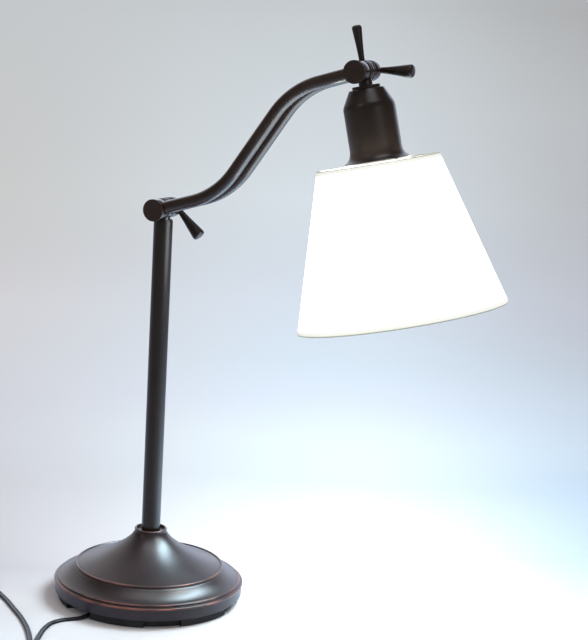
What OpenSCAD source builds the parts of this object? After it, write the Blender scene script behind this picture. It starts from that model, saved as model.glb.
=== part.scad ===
// Desk lamp with a cone shade: a weighted round base and a straight post, a pair of
// S-curved rods between two clamped tilt joints, and a shaded lamp head.
// Millimetres. The origin is the centre of the base on the table, +Z is up, +X points
// to the lamp head, and both joint axes lie along Y.

/* [Base] */
// Radius of the base over its lower bead
base_r = 97; // [88:1:110]
// Height of the notched foot ring
foot_h = 8.7; // [6:0.1:12]
// Height of the upright band of the cover
band_h = 11.6; // [8:0.2:16]
// Radius of the bead round the upper disc
disc_r = 76; // [60:1:80]
// Height of that bead above the table
disc_z = 36.2; // [32:0.2:44]
// Radius of the lip round the neck
neck_r = 16.6; // [15:0.2:22]
// Height of the top of the neck
neck_z = 75; // [66:1:90]
// Wall of the spun cover
cover_wall = 1.6; // [1:0.1:2.4]
// Number of feet in the ring
foot_count = 6; // [4:1:8]
// Width of the notch between two feet, in degrees
foot_notch_deg = 24; // [16:1:30]
// Direction of the notch that the cord leaves by, in degrees
cord_notch_deg = -111; // [-114:1:-108]
// Thickness of the flat part of the cast weight
weight_h = 10; // [6:0.5:12]

/* [Post] */
// Outer diameter of the post
post_d = 19.05; // [18:0.05:22]
// Wall of the post
post_wall = 1.5; // [1.2:0.1:1.8]
// Height of the lower joint axis above the table
hinge_z = 406.2; // [300:1:500]

/* [Arm] */
// Distance from the lower to the upper joint axis, along X
arm_reach = 206.8; // [190:1:240]
// Distance from the lower to the upper joint axis, along Z
arm_rise = 152; // [140:1:176]
// Diameter of each rod
rod_d = 12.7; // [10:0.1:13]
// Wall of each rod
rod_wall = 1.5; // [1:0.1:2.2]
// Distance between the centres of the two rods
rod_pitch = 27; // [26.6:0.1:32]
// Slope of a rod where it leaves a joint, in degrees
rod_end_deg = 18; // [10:1:24]
// Slope of a rod in the middle of the arm, in degrees
rod_mid_deg = 56; // [48:1:60]
// Bend radius at the centre line of a rod
rod_bend_r = 85; // [60:1:90]

/* [Tilt joints] */
// Radius of the joint barrel
barrel_r = 10.4; // [9.8:0.1:11]
// Width of the knuckle in the middle of a barrel
knuckle_w = 12; // [10:0.1:12.2]
// Thickness of a friction washer
washer_t = 0.8; // [0.5:0.1:1.2]
// Diameter of the clamp bolt
bolt_d = 6; // [5:0.1:6.4]
// Radius of the flat head of the clamp bolt
bolt_head_r = 11; // [10:0.1:12]
// Thickness of that head
bolt_head_t = 2.6; // [1.6:0.1:4]
// Running clearance round the bolt
bolt_clear = 0.05; // [0.02:0.01:0.1]
// Distance from the joint axis to the tip of a clamp lever
lever_len = 40.5; // [34:0.5:44]
// Diameter of a clamp lever at its tip
lever_tip_d = 12.8; // [9:0.2:14]
// Diameter of a clamp lever at its root
lever_root_d = 5.4; // [4.4:0.2:6]
// Angle of the lower lever above the horizontal, in degrees
lower_lever_deg = -44; // [-50:1:-38]
// Angle of the upper lever above the horizontal, in degrees
upper_lever_deg = 3; // [0:1:10]

/* [Lamp head] */
// Lean of the head axis away from the vertical, in degrees
head_lean = 13.7; // [8:0.1:18]
// Distance from the joint axis to the tip of the aiming handle
handle_len = 43; // [36:0.5:48]
// Diameter of the aiming handle at its tip
handle_tip_d = 9.4; // [7:0.2:10]
// Radius of the cap plate over the lamp cup
cap_r = 13.2; // [11:0.2:15]
// Thickness of the cap plate
cap_t = 3; // [2:0.2:4]
// Distance from the joint axis down to the top of the lamp cup
cup_top = 16.6; // [16:0.2:18]
// Radius of the lamp cup
cup_r = 24.6; // [23.6:0.2:26]
// Length of the lamp cup down to its lip
cup_len = 68.2; // [66:0.2:72]
// Radius of the flared lip of the lamp cup
cup_lip_r = 31.3; // [28:0.2:34]
// Wall of the lamp cup
cup_wall = 1.2; // [0.8:0.1:1.6]

/* [Shade] */
// Radius of the shade at its top edge
shade_top_r = 58.3; // [50:0.5:64]
// Radius of the shade at its bottom edge
shade_bottom_r = 100.6; // [88:1:104]
// Height of the shade along its axis
shade_h = 147.8; // [130:1:154]
// Thickness of the fabric with its stiff lining
fabric_t = 1; // [0.6:0.1:1.6]
// Width of the tape rolled over each edge of the shade
trim_w = 4; // [3:0.5:8]
// Diameter of the frame wire
wire_d = 2.6; // [2:0.1:3.2]
// Number of arms from the fitter to the top hoop
spider_arms = 3; // [2:1:4]

/* [Lampholder and lamp] */
// Outer radius of the lampholder
holder_r = 18.6; // [17:0.1:19]
// Radius of the screw shell inside the lampholder
shell_r = 14; // [13.8:0.1:15]
// Radius of the round part of the glass lamp
bulb_r = 30; // [26:0.5:32]
// Radius of the switch knob
knob_r = 6; // [4.5:0.1:7]
// Thickness of the glass
glass_t = 0.8; // [0.6:0.1:1.2]

/* [Supply cord] */
// Width of the flat twin cord
cord_w = 5.4; // [5:0.1:5.8]
// Thickness of the flat twin cord
cord_t = 2.7; // [2.4:0.1:2.8]
// Diameter of the lead inside the lamp
lead_d = 4.2; // [3.4:0.1:4.4]

/* [Hidden] */
$fn = 72;
e = 0.01;

// Base
foot_r = base_r - 5;
foot_inner_r = foot_r - 8;
foot_web_h = 2;
foot_ease = 0.8;
notch_in = 4.5;
band_r = base_r - 1.2;
band_top_z = foot_h + band_h;
bead_r1 = 1.3;
bead_r2 = 1.1;
bead_r3 = 1.4;
neck_bead_r = 1.2;
plate_t = 1.2;
plate_z = foot_h + plate_t;
plate_clear = 0.15;
channel_w = 12;
channel_h = 9;
channel_r = 38;
weight_r = band_r - cover_wall - 1.2;
weight_ease = 1.5;
nut_pocket_r = 13;
nut_z = plate_z + 11;
nut_t = 5;
nut_flange_t = 1.2;
hub_z = neck_z - 30;
hub_r = 22;
hub_foot_w = 16;
hub_foot_h = 6;
// Post
post_r = post_d / 2;
post_bore_r = post_r - post_wall;
post_top_z = hinge_z - barrel_r - 1.8;
seat_clear = 0.1;
nipple_r = 5;
nipple_bore_r = 3.4;
post_plug_len = 18;
collar_t = 1.2;
spigot_len = 24;
// Barrels
rod_r = rod_d / 2;
rod_y = rod_pitch / 2;
eye_in = knuckle_w / 2 + washer_t;
eye_out = 2 * rod_y - eye_in;
bolt_r = bolt_d / 2;
bore_r = bolt_r + bolt_clear;
washer_r = barrel_r - 1;
nut_gap = 0.2;
hub_lever_r = 5;
hub_lever_w = 7.4;
lever_y = eye_out + nut_gap + hub_lever_w / 2;
bolt_end_y = eye_out + nut_gap + hub_lever_w - 1.4;
stem_r = knuckle_w / 2 - 0.1;
stem_ring_r = 6.6;
stem_ring_top = barrel_r + 0.25;
barrel_ease = 0.5;
groove_in = 3;
groove_w = 1.2;
groove_t = 0.7;
rod_seam = 0.02;
seam_deg = 0.2;
// Rods: two straight ends and a straight middle, joined by two equal arcs
turn_deg = rod_mid_deg - rod_end_deg;
half_x = arm_reach / 2 - rod_bend_r * (sin(rod_mid_deg) - sin(rod_end_deg));
half_z = arm_rise / 2 - rod_bend_r * (cos(rod_end_deg) - cos(rod_mid_deg));
rod_det = sin(turn_deg);
end_len = (half_x * sin(rod_mid_deg) - half_z * cos(rod_mid_deg)) / rod_det;
mid_len = 2 * (half_z * cos(rod_end_deg) - half_x * sin(rod_end_deg)) / rod_det;
// Head, measured down its own axis from the upper joint axis
cap_top = cup_top - cap_t;
cup_bottom = cup_top + cup_len;
cup_shoulder_r = 17.2;
cup_shoulder_h = 14;
cup_flare_h = 9.6;
holder_top = cup_top + 8;
holder_cap_r = 12;
holder_cap_h = 12;
holder_bottom = cup_bottom + 7.4;
shell_top = holder_top + 24;
shell_len = holder_bottom - shell_top - 4;
fitter_z = cup_bottom + 0.5;
fitter_t = 1.2;
fitter_r = cup_lip_r - 1.6;
flange_w = 2.6;
flange_t = 2.55;
ring_nut_t = 4;
shade_top = cup_bottom + 1.4;
shade_slope = (shade_bottom_r - shade_top_r) / shade_h;
slope_deg = atan(shade_slope);
lining = fabric_t / cos(slope_deg);
wire_r = wire_d / 2;
hoop_inset = wire_r / cos(slope_deg) + lining + 0.03;
weld_gap = 0.02;
arm_w = wire_r * 3.2;
bulb_cap_r = shell_r - 1;
bulb_cap_len = 25;
bulb_tip = shell_top + 2.4;
bulb_neck_s = bulb_tip + bulb_cap_len;
bulb_neck_len = 56;
bulb_centre = bulb_neck_s + bulb_neck_len;
lamp_stem_r = 10;
lamp_stem_len = 10;
filament_r = 6;
knob_s = holder_top + 20;
knob_shaft_r = 2;
knob_w = 9;
knob_grips = 12;
// Supply cord: the route is chosen by hand, in millimetres, and lies on the table
cord_z = cord_t / 2 + 0.1;
cord_route = [
    [-16.2, -70.2, 4.2], [-17.4, -75.4, 4], [-17.6, -80.5, 3.6], [-18.3, -85.8, 3],
    [-19.9, -91, 2.2], [-22.3, -95.8, 1.7], [-25.4, -99.9, cord_z], [-35, -112, cord_z],
    [-38.4, -125, cord_z], [-35.5, -142, cord_z], [-28.6, -161.5, cord_z], [-23.1, -173.8, cord_z],
    [-15.6, -181.3, cord_z], [-5.3, -184.5, cord_z], [6.3, -188.1, cord_z], [14.6, -196.9, cord_z],
    [17.5, -208.7, cord_z], [14.3, -220.4, cord_z], [5.8, -229, cord_z], [-5.9, -232.4, cord_z],
    [-17.7, -229.6, cord_z], [-26.7, -221.4, cord_z], [-30.5, -209.9, cord_z], [-28.1, -198, cord_z],
    [-25.8, -187.4, cord_z], [-28.9, -177.3, cord_z], [-38.9, -162.7, cord_z], [-54, -145, cord_z],
    [-72, -127, cord_z], [-91, -111, cord_z], [-110, -95, cord_z], [-127, -82.5, cord_z],
    [-145, -69.5, cord_z], [-163, -57.5, cord_z]
];
coil_at = [-184, -87];
coil_in_r = 24.5;
coil_out_r = 37.5;
coil_h = 11;
tail_route = [
    [-204.9, -116.4, 8.2], [-196.8, -122.2, 7.9], [-187.8, -128.6, 7.1], [-179, -135, 6.2]
];
plug_at = [-179, -135, 6.2];
plug_deg = -35.5;
cord_exit_z = 4.2;
tie_w = 6;
tie_t = 1;
plug_boot = 14;
plug_len = 26;
plug_w = 24;
plug_t = 12;
blade_len = 16;
blade_t = 1.5;
blade_h = 6.3;
blade_pitch = 12.7;
blade_extra = 1.6;
// Leads
lead_z = plate_z + 4;
lead_bore_r = lead_d / 2 / cos(22.5) + 0.03;
gland_r0 = 40;
gland_r1 = 72;
gland_block_l = 12;
gland_block_w = 11;
gland_deg = -103;

// A point on the cubic curve with the control points p, at the share t of its length
function bezier(p, t) =
    pow(1 - t, 3) * p[0] + 3 * t * pow(1 - t, 2) * p[1] + 3 * t * t * (1 - t) * p[2] + t * t * t * p[3];
// Points of that curve from start to end in n steps
function curve(p, n) = [for (i = [0:n]) bezier(p, i / n)];
// Points of an arc about the centre c
function arc(c, r, a0, a1, n) = [for (i = [0:n])
    let (a = a0 + (a1 - a0) * i / n) c + r * [cos(a), sin(a)]];
// Catmull-Rom point between p[i] and p[i + 1]
function spline_at(p, i, t) =
    let (a = p[max(i - 1, 0)], b = p[i], c = p[i + 1], d = p[min(i + 2, len(p) - 1)])
    0.5 * (2 * b + (c - a) * t + (2 * a - 5 * b + 4 * c - d) * t * t + (3 * b - a - 3 * c + d) * t * t * t);
function spline(p, n) = concat(
    [for (i = [0:len(p) - 2], k = [0:n - 1]) spline_at(p, i, k / n)], [p[len(p) - 1]]);
function unit(v) = v / norm(v);
// Where the lower bend of a rod has got to at the slope g, from where the bend starts
function bend_to(g) = rod_bend_r * [sin(g) - sin(rod_end_deg), 0, cos(rod_end_deg) - cos(g)];

// A flat oval section w wide and t thick, carried along the points p
module sweep(p, w, t, sides = 8) {
    last = len(p) - 1;
    rings = [for (i = [0:last])
        let (d = unit(p[min(i + 1, last)] - p[max(i - 1, 0)]),
             h = unit(cross(norm([d.x, d.y]) > 0.05 ? [0, 0, 1] : [1, 0, 0], d)),
             v = cross(d, h))
        for (k = [0:sides - 1])
            let (a = 360 * (k + 0.5) / sides, grow = 0.5 / cos(180 / sides))
                p[i] + h * w * cos(a) * grow + v * t * sin(a) * grow];
    walls = [for (i = [0:last - 1], k = [0:sides - 1])
        let (a = i * sides + k, b = i * sides + (k + 1) % sides) [a, a + sides, b + sides, b]];
    polyhedron(rings, concat(walls, [[for (k = [0:sides - 1]) k]],
        [[for (k = [sides - 1:-1:0]) last * sides + k]]), convexity = 6);
}
// A cylinder along Y from y0 to y1, with its edges eased by c
module y_disc(r, y0, y1, c = 0) {
    translate([0, y0, 0]) rotate([-90, 0, 0]) rotate_extrude()
        polygon([[0, 0], [r - c, 0], [r, c], [r, y1 - y0 - c], [r - c, y1 - y0], [0, y1 - y0]]);
}
module y_bore(r, y0, y1) {
    translate([0, y0, 0]) rotate([-90, 0, 0]) cylinder(r = r, h = y1 - y0);
}
module at_lower() { translate([0, 0, hinge_z]) children(); }
module at_upper() { translate([arm_reach, 0, hinge_z + arm_rise]) children(); }
module at_head() { at_upper() rotate([0, -head_lean, 0]) children(); }
// A tapered handle along +X with a softened tip
module taper_handle(x0, x1, d0, d1) {
    soft = 1.2;
    rotate([0, 90, 0]) rotate_extrude() polygon(concat(
        [[0, x0], [d0 / 2, x0]], arc([d1 / 2 - soft, x1 - soft], soft, 0, 75, 4), [[0, x1]]));
}

// ---- Stand ----
function cover_bell(inset) = let (o = [-inset, -inset]) curve([
    [disc_r - bead_r3 * 1.8, disc_z + 0.3] + o, [disc_r * 0.55, disc_z + 11.5] + o,
    [neck_r + 3.4, neck_z - 13.5] + o, [neck_r - neck_bead_r * 0.4, neck_z - 2.2] + o], 12);
function cover_cove(inset) = let (o = [-inset * 0.4, -inset]) curve([
    [base_r - 4.6, band_top_z + 4] + o, [base_r - 10, band_top_z + 5.2] + o,
    [disc_r + 5, disc_z - 6.5] + o, [disc_r + 1, disc_z - 1.4] + o], 8);
module base_cover() {
    bore = post_r + seat_clear;
    inner = cover_wall * 0.8;
    color("#33292a") rotate_extrude($fn = 144) polygon(concat(
        [[band_r - cover_wall, foot_h], [band_r, foot_h], [base_r - 1, band_top_z - 1.6]],
        arc([base_r - bead_r1, band_top_z], bead_r1, -60, 100, 8),
        arc([base_r - 3.2 - bead_r2, band_top_z + 2.8], bead_r2, -40, 120, 8),
        cover_cove(0),
        arc([disc_r - bead_r3, disc_z - 0.1], bead_r3, -45, 135, 8),
        cover_bell(0),
        arc([neck_r - neck_bead_r, neck_z - neck_bead_r], neck_bead_r, -10, 190, 8),
        [[neck_r - 2 * neck_bead_r, neck_z - 2.6], [bore, neck_z - 2.6], [bore, neck_z - 2.6 - cover_wall]],
        [for (i = [12:-1:0]) cover_bell(inner)[i]],
        [for (i = [8:-1:0]) cover_cove(inner * 1.2)[i]],
        [[band_r - cover_wall, band_top_z - 1]]));
}
module base_weight() {
    color("#4a4a4c") difference() {
        rotate_extrude() polygon([
            [nipple_r + seat_clear, plate_z], [weight_r, plate_z],
            [weight_r, plate_z + weight_h - weight_ease],
            [weight_r - 2 * weight_ease, plate_z + weight_h],
            [hub_r + hub_foot_w, plate_z + weight_h],
            [hub_r + 2 * weight_ease, plate_z + weight_h + hub_foot_h],
            [hub_r, hub_z - 3 * weight_ease], [hub_r - 2 * weight_ease, hub_z],
            [nipple_r + seat_clear, hub_z]]);
        translate([0, 0, plate_z - e]) cylinder(r = nut_pocket_r, h = nut_z + nut_t - plate_z + e);
        rotate([0, 0, gland_deg]) translate([0, -channel_w / 2, plate_z - e])
            cube([channel_r, channel_w, channel_h + e]);
    }
}
module base_plate() {
    color("#2a2a2b") difference() {
        translate([0, 0, foot_h]) cylinder(r = band_r - cover_wall - plate_clear, h = plate_t);
        rotate([0, 0, gland_deg]) translate([-channel_w / 2, -channel_w / 2, foot_h - 1])
            cube([channel_r + channel_w / 2, channel_w, plate_t + 2]);
    }
}
// A notch in the ring of feet, centred on the angle a and open to the outside from the radius r
module foot_notch(a, r) {
    rotate([0, 0, a - foot_notch_deg / 2]) translate([0, 0, -1])
        rotate_extrude(angle = foot_notch_deg)
            translate([r, 0]) square([foot_r - r + 1, foot_h - foot_web_h + 1]);
}
// Feet on a ring that stands on the table too. Only the cord's notch goes right through it
module foot_ring() {
    color("#161617") difference() {
        rotate_extrude($fn = 144) polygon([
            [foot_inner_r, 0], [foot_r - foot_ease, 0], [foot_r, foot_ease],
            [foot_r, foot_h], [foot_inner_r, foot_h]]);
        foot_notch(cord_notch_deg, foot_inner_r - 1);
        for (i = [1:foot_count - 1])
            foot_notch(cord_notch_deg + i * 360 / foot_count, foot_r - notch_in);
    }
}
module post() {
    color("#2b2322") difference() {
        translate([0, 0, hub_z]) cylinder(r = post_r, h = post_top_z - hub_z);
        translate([0, 0, hub_z - 1]) cylinder(r = post_bore_r, h = post_top_z - hub_z + 2);
    }
}
module post_plug() {
    color("#8d8a84") difference() {
        translate([0, 0, hub_z]) cylinder(r = post_bore_r - 0.02, h = post_plug_len);
        translate([0, 0, hub_z - 1]) cylinder(r = nipple_r + 0.02, h = post_plug_len + 2);
    }
}
module post_nipple() {
    color("#b39a58") difference() {
        translate([0, 0, nut_z - 1]) cylinder(r = nipple_r, h = hub_z + post_plug_len - nut_z - 1);
        translate([0, 0, nut_z - 2]) cylinder(r = nipple_bore_r, h = hub_z + post_plug_len - nut_z + 2);
    }
}
module post_nut() {
    color("#9a9a9a") difference() {
        union() {
            translate([0, 0, nut_z]) cylinder(r = nipple_r + 4.4, h = nut_t - nut_flange_t, $fn = 6);
            translate([0, 0, nut_z + nut_t - nut_flange_t]) cylinder(r = nipple_r + 6, h = nut_flange_t);
        }
        translate([0, 0, nut_z - 1]) cylinder(r = nipple_r + 0.02, h = nut_t + 2);
    }
}
// The outline of a turned groove at the height y of the middle of a joint barrel
function groove(y) = [
    [barrel_r, y - groove_w / 2], [barrel_r - groove_t, y], [barrel_r, y + groove_w / 2]];
// That middle, with a groove on each side of its crown
module knuckle_barrel() {
    translate([0, -knuckle_w / 2, 0]) rotate([-90, 0, 0]) rotate_extrude() polygon(concat(
        [[0, 0], [barrel_r - barrel_ease, 0], [barrel_r, barrel_ease]],
        groove(groove_in), groove(knuckle_w - groove_in),
        [[barrel_r, knuckle_w - barrel_ease], [barrel_r - barrel_ease, knuckle_w], [0, knuckle_w]]));
}
module lower_knuckle() {
    drop = hinge_z - post_top_z;
    color("#2b2322") at_lower() difference() {
        union() {
            knuckle_barrel();
            translate([0, 0, -drop]) cylinder(r = stem_r, h = drop - 4);
            translate([0, 0, -drop]) cylinder(r = stem_ring_r, h = drop - stem_ring_top);
            translate([0, 0, -drop]) cylinder(r = post_r - 0.5, h = collar_t);
            translate([0, 0, -drop - spigot_len]) cylinder(r = post_bore_r - 0.02, h = spigot_len);
        }
        y_bore(bore_r, -knuckle_w, knuckle_w);
        translate([0, 0, -drop - spigot_len - 1])
            cylinder(r = lead_d / 2 + 0.8, h = spigot_len + drop - bore_r - 1.5);
    }
}
// The strain relief under the base plate: a block, and a tapered boot towards the notch
module cord_gland() {
    block_z = 0.8;
    color("#121213") rotate([0, 0, gland_deg]) {
        difference() {
            union() {
                translate([gland_r0, -gland_block_w / 2, block_z])
                    cube([gland_block_l, gland_block_w, foot_h - 0.02 - block_z]);
                translate([gland_r0 + gland_block_l, 0, cord_exit_z]) rotate([0, 90, 0])
                    cylinder(r1 = 3.9, r2 = 3.1, h = gland_r1 - gland_r0 - gland_block_l);
            }
            translate([gland_r0 - 1, 0, cord_exit_z]) rotate([0, 90, 0])
                cylinder(r = lead_bore_r, h = gland_block_l);
        }
    }
}
// From the gland to the foot of the post, as distances from the lamp's axis and heights
stand_lead_route = let (u = [cos(gland_deg), sin(gland_deg)]) [
    for (p = [[gland_r0 + gland_block_l - 2, cord_exit_z], [gland_r0, cord_exit_z], [34, 4.7],
              [27, 7.5], [20, 11.5], [13, lead_z], [7, lead_z + 0.6], [2.2, lead_z + 3.2],
              [0.2, lead_z + 7.5], [0, lead_z + 13]]) [p[0] * u.x, p[0] * u.y, p[1]]];
module stand_lead() {
    low = lead_z + 13;
    top = hinge_z - bore_r - 3;
    color("#1b1b1c") sweep(concat(spline(stand_lead_route, 3),
        [for (k = [1:6]) [0, 0, low + (top - low) * k / 6]]), lead_d, lead_d);
}

// ---- Arm ----
// One S-shaped bar of radius r from the lower joint axis to the upper one. The bends are
// thinner by rod_seam and reach a little into the straights, so that they meet cleanly
module s_bar(r) {
    module straight(l) { rotate([0, 90, 0]) cylinder(r = r, h = l); }
    // The bend lies in the XZ plane: s = 1 turns upwards and s = -1 turns downwards
    module bend(s) {
        translate([0, 0, s * rod_bend_r]) rotate([90, 0, 0])
            rotate([0, 0, (s > 0 ? -90 : 90 - turn_deg) - seam_deg])
                rotate_extrude(angle = turn_deg + 2 * seam_deg)
                    translate([rod_bend_r, 0]) circle(r = r - rod_seam);
    }
    end_run = [end_len * cos(rod_end_deg), 0, end_len * sin(rod_end_deg)];
    bend_run = bend_to(rod_mid_deg);
    mid_run = [mid_len * cos(rod_mid_deg), 0, mid_len * sin(rod_mid_deg)];
    rotate([0, -rod_end_deg, 0]) straight(end_len);
    translate(end_run) rotate([0, -rod_end_deg, 0]) bend(1);
    translate(end_run + bend_run) rotate([0, -rod_mid_deg, 0]) straight(mid_len);
    translate(end_run + bend_run + mid_run) rotate([0, -rod_mid_deg, 0]) bend(-1);
    translate(end_run + 2 * bend_run + mid_run) rotate([0, -rod_end_deg, 0]) straight(end_len);
}
module arm_rod(side) {
    cut_r = barrel_r + 0.02;
    at_lower() translate([0, side * rod_y, 0]) difference() {
        s_bar(rod_r);
        s_bar(rod_r - rod_wall);
        y_bore(cut_r, -rod_r - 1, rod_r + 1);
        translate([arm_reach, 0, arm_rise]) y_bore(cut_r, -rod_r - 1, rod_r + 1);
    }
}
module near_rod() { color("#2b2322") arm_rod(-1); }
module far_rod() { color("#2b2322") arm_rod(1); }
// A hub at the end of a rod: side is -1 on the near side and 1 on the far side
module eye(side) {
    color("#2b2322") difference() {
        y_disc(barrel_r, side > 0 ? eye_in : -eye_out, side > 0 ? eye_out : -eye_in, barrel_ease);
        y_bore(bore_r, -eye_out - 1, eye_out + 1);
    }
}
module lower_near_eye() { at_lower() eye(-1); }
module lower_far_eye() { at_lower() eye(1); }
module upper_near_eye() { at_upper() eye(-1); }
module upper_far_eye() { at_upper() eye(1); }
module washer_pair() {
    color("#6f6a62") for (side = [-1, 1]) difference() {
        y_disc(washer_r, side > 0 ? eye_in - washer_t : -eye_in, side > 0 ? eye_in : washer_t - eye_in);
        y_bore(bore_r, -eye_in - 1, eye_in + 1);
    }
}
module lower_washers() { at_lower() washer_pair(); }
module upper_washers() { at_upper() washer_pair(); }
module clamp_bolt() {
    color("#2f2320") union() {
        y_disc(bolt_head_r, -eye_out - bolt_head_t, -eye_out, barrel_ease);
        y_bore(bolt_r, -eye_out - e, bolt_end_y);
    }
}
module lower_bolt() { at_lower() clamp_bolt(); }
module upper_bolt() { at_upper() clamp_bolt(); }
// A nut with a tapered lever, turned on the end of the clamp bolt
module clamp_lever(angle) {
    y0 = eye_out + nut_gap;
    color("#2b2624") difference() {
        union() {
            y_disc(hub_lever_r, y0, y0 + hub_lever_w, 0.8);
            translate([0, lever_y, 0]) rotate([0, -angle, 0])
                taper_handle(bore_r + 0.8, lever_len, lever_root_d, lever_tip_d);
        }
        y_bore(bore_r, y0 - 1, bolt_end_y + 0.3);
    }
}
module lower_lever() { at_lower() clamp_lever(lower_lever_deg); }
module upper_lever() { at_upper() clamp_lever(upper_lever_deg); }
arm_lead_route = let (
    a = [cos(rod_end_deg), 0, sin(rod_end_deg)], m = [cos(rod_mid_deg), 0, sin(rod_mid_deg)],
    up = [for (k = [0:8]) end_len * a + bend_to(rod_end_deg + turn_deg * k / 8)],
    last = [arm_reach, 0, arm_rise])
    concat([a * (barrel_r + 1)], up, [up[8] + m * mid_len / 2],
        [for (k = [8:-1:0]) last - up[k]], [last - a * (barrel_r + 1)]);
module arm_lead() {
    rest = rod_r - rod_wall - lead_d / 2 - 0.15;
    color("#1b1b1c") translate([0, -rod_y, hinge_z - rest]) sweep(arm_lead_route, lead_d, lead_d);
}

// ---- Head ----
module upper_knuckle() {
    color("#2f2523") at_head() difference() {
        union() {
            knuckle_barrel();
            translate([0, 0, -cap_top]) cylinder(r = stem_r, h = cap_top - 4);
            translate([0, 0, -cap_top]) cylinder(r = stem_ring_r, h = cap_top - stem_ring_top);
            translate([0, 0, -holder_top]) cylinder(r = nipple_r, h = holder_top - 4);
        }
        y_bore(bore_r, -knuckle_w, knuckle_w);
        translate([0, 0, -holder_top - 1]) cylinder(r = lead_bore_r, h = holder_top - bore_r - 0.5);
        translate([0, 0, bore_r + 1.2]) cylinder(r = 2.05, h = barrel_r);
    }
}
module aiming_handle() {
    color("#2b2624") at_head() union() {
        rotate([0, -90, 0]) taper_handle(barrel_r + 0.05, handle_len, lever_root_d, handle_tip_d);
        translate([0, 0, bore_r + 1.4]) cylinder(r = 2, h = barrel_r - bore_r);
    }
}
module cap_plate() {
    color("#1d1a19") at_head() rotate_extrude() polygon([
        [nipple_r + 0.05, -cup_top], [cap_r, -cup_top], [cap_r, -cap_top - 0.8], [cap_r - 0.8, -cap_top],
        [nipple_r + 0.05, -cap_top]]);
}
// The outline of the cup, inset by t
function cup_wall_at(t) = concat(
    [[nipple_r + 0.05, -cup_top - t]],
    arc([cup_shoulder_r - 1.8, -cup_top - 1.8], 1.8 - t, 90, 30, 4),
    arc([cup_r - 5, -cup_top - cup_shoulder_h - 2.5], 5 - t, 28, 0, 4),
    curve([
        [cup_r - t, -cup_bottom + cup_flare_h], [cup_r - t + 0.3, -cup_bottom + cup_flare_h * 0.35],
        [cup_lip_r - 4 - t * 0.6, -cup_bottom + 2.6 - t * 0.8],
        [cup_lip_r, -cup_bottom + 1.2 - t * 0.9]], 8));
module lamp_cup() {
    inner = cup_wall_at(cup_wall);
    color("#2f2523") at_head() difference() {
        rotate_extrude() polygon(concat(cup_wall_at(0), [for (i = [len(inner) - 1:-1:0]) inner[i]]));
        translate([0, cup_r - 6, -knob_s]) rotate([-90, 0, 0]) cylinder(r = knob_shaft_r + 0.5, h = 12);
    }
}
module cup_nut() {
    color("#9a9a9a") at_head() translate([0, 0, -cup_top - cup_wall - 4]) difference() {
        cylinder(r = 9, h = 3.9, $fn = 6);
        translate([0, 0, -1]) cylinder(r = nipple_r + 0.05, h = 6);
    }
}
module lampholder() {
    color("#1a1a1a") at_head() difference() {
        rotate_extrude() polygon([
            [nipple_r + 0.05, -holder_top + 2.4], [holder_cap_r, -holder_top + 2.4],
            [holder_cap_r, -holder_top - holder_cap_h + 6], [holder_r, -holder_top - holder_cap_h],
            [holder_r, -fitter_z + 0.05 + flange_t], [holder_r + flange_w, -fitter_z + 0.05 + flange_t],
            [holder_r + flange_w, -fitter_z + 0.05], [holder_r, -fitter_z + 0.05],
            [holder_r, -holder_bottom], [shell_r + 0.5, -holder_bottom], [shell_r + 0.5, -shell_top],
            [lead_bore_r, -shell_top], [lead_bore_r, -holder_top], [nipple_r + 0.05, -holder_top]]);
        translate([0, shell_r - 6, -knob_s]) rotate([-90, 0, 0]) cylinder(r = knob_shaft_r + 0.05, h = 12);
    }
}
// Rolled thread as rings of crest height 0.45: z from -top down n turns
function thread_profile(r, top, n) = [for (i = [0:n - 1]) each let (z = -top - i * 3.6)
    [[r, z - 0.3], [r + 0.45, z - 1.4], [r + 0.45, z - 2.2], [r, z - 3.3]]];
module screw_shell() {
    n = floor((shell_len - 2) / 3.6);
    outer = thread_profile(shell_r, shell_top + 0.2, n);
    color("#c2a14a") at_head() rotate_extrude() polygon(concat(
        outer, [for (i = [len(outer) - 1:-1:0]) outer[i] - [0.4, 0]]));
}
module centre_contact() {
    color("#c2a14a") at_head() translate([0, 0, -bulb_tip + 0.05])
        cylinder(r = 4, h = bulb_tip - shell_top - 0.05);
}
module shade_ring_nut() {
    color("#1a1a1a") at_head() translate([0, 0, -fitter_z - fitter_t - ring_nut_t - 0.05]) difference() {
        cylinder(r = holder_r + 4.6, h = ring_nut_t);
        translate([0, 0, -1]) cylinder(r = holder_r + 0.05, h = ring_nut_t + 2);
    }
}
top_hoop_s = shade_top + wire_r + 0.4;
top_hoop_r = shade_top_r + shade_slope * (top_hoop_s - shade_top) - hoop_inset;
// Flat arms run from the fitter's plate on to the top of the hoop, where they are welded
module shade_spider() {
    arm_t = top_hoop_s - wire_r - weld_gap - fitter_z;
    color("#3a3633") at_head() union() {
        difference() {
            translate([0, 0, -fitter_z - fitter_t]) cylinder(r = fitter_r, h = fitter_t);
            translate([0, 0, -fitter_z - fitter_t - 1]) cylinder(r = holder_r + 0.4, h = fitter_t + 2);
        }
        for (i = [0:spider_arms - 1]) rotate([0, 0, 90 + i * 360 / spider_arms])
            translate([fitter_r - 3, -arm_w / 2, -fitter_z - arm_t])
                cube([top_hoop_r - fitter_r + 3, arm_w, arm_t]);
    }
}
module hoop(r, s) {
    at_head() translate([0, 0, -s])
        rotate_extrude() translate([r, 0]) circle(r = wire_r, $fn = 24);
}
module shade_top_hoop() {
    color("#d8d6cf") hoop(top_hoop_r, top_hoop_s);
}
bottom_hoop_s = shade_top + shade_h - wire_r - 0.4;
bottom_hoop_r = shade_top_r + shade_slope * (bottom_hoop_s - shade_top) - hoop_inset;
module shade_bottom_hoop() {
    color("#d8d6cf") hoop(bottom_hoop_r, bottom_hoop_s);
}
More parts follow.
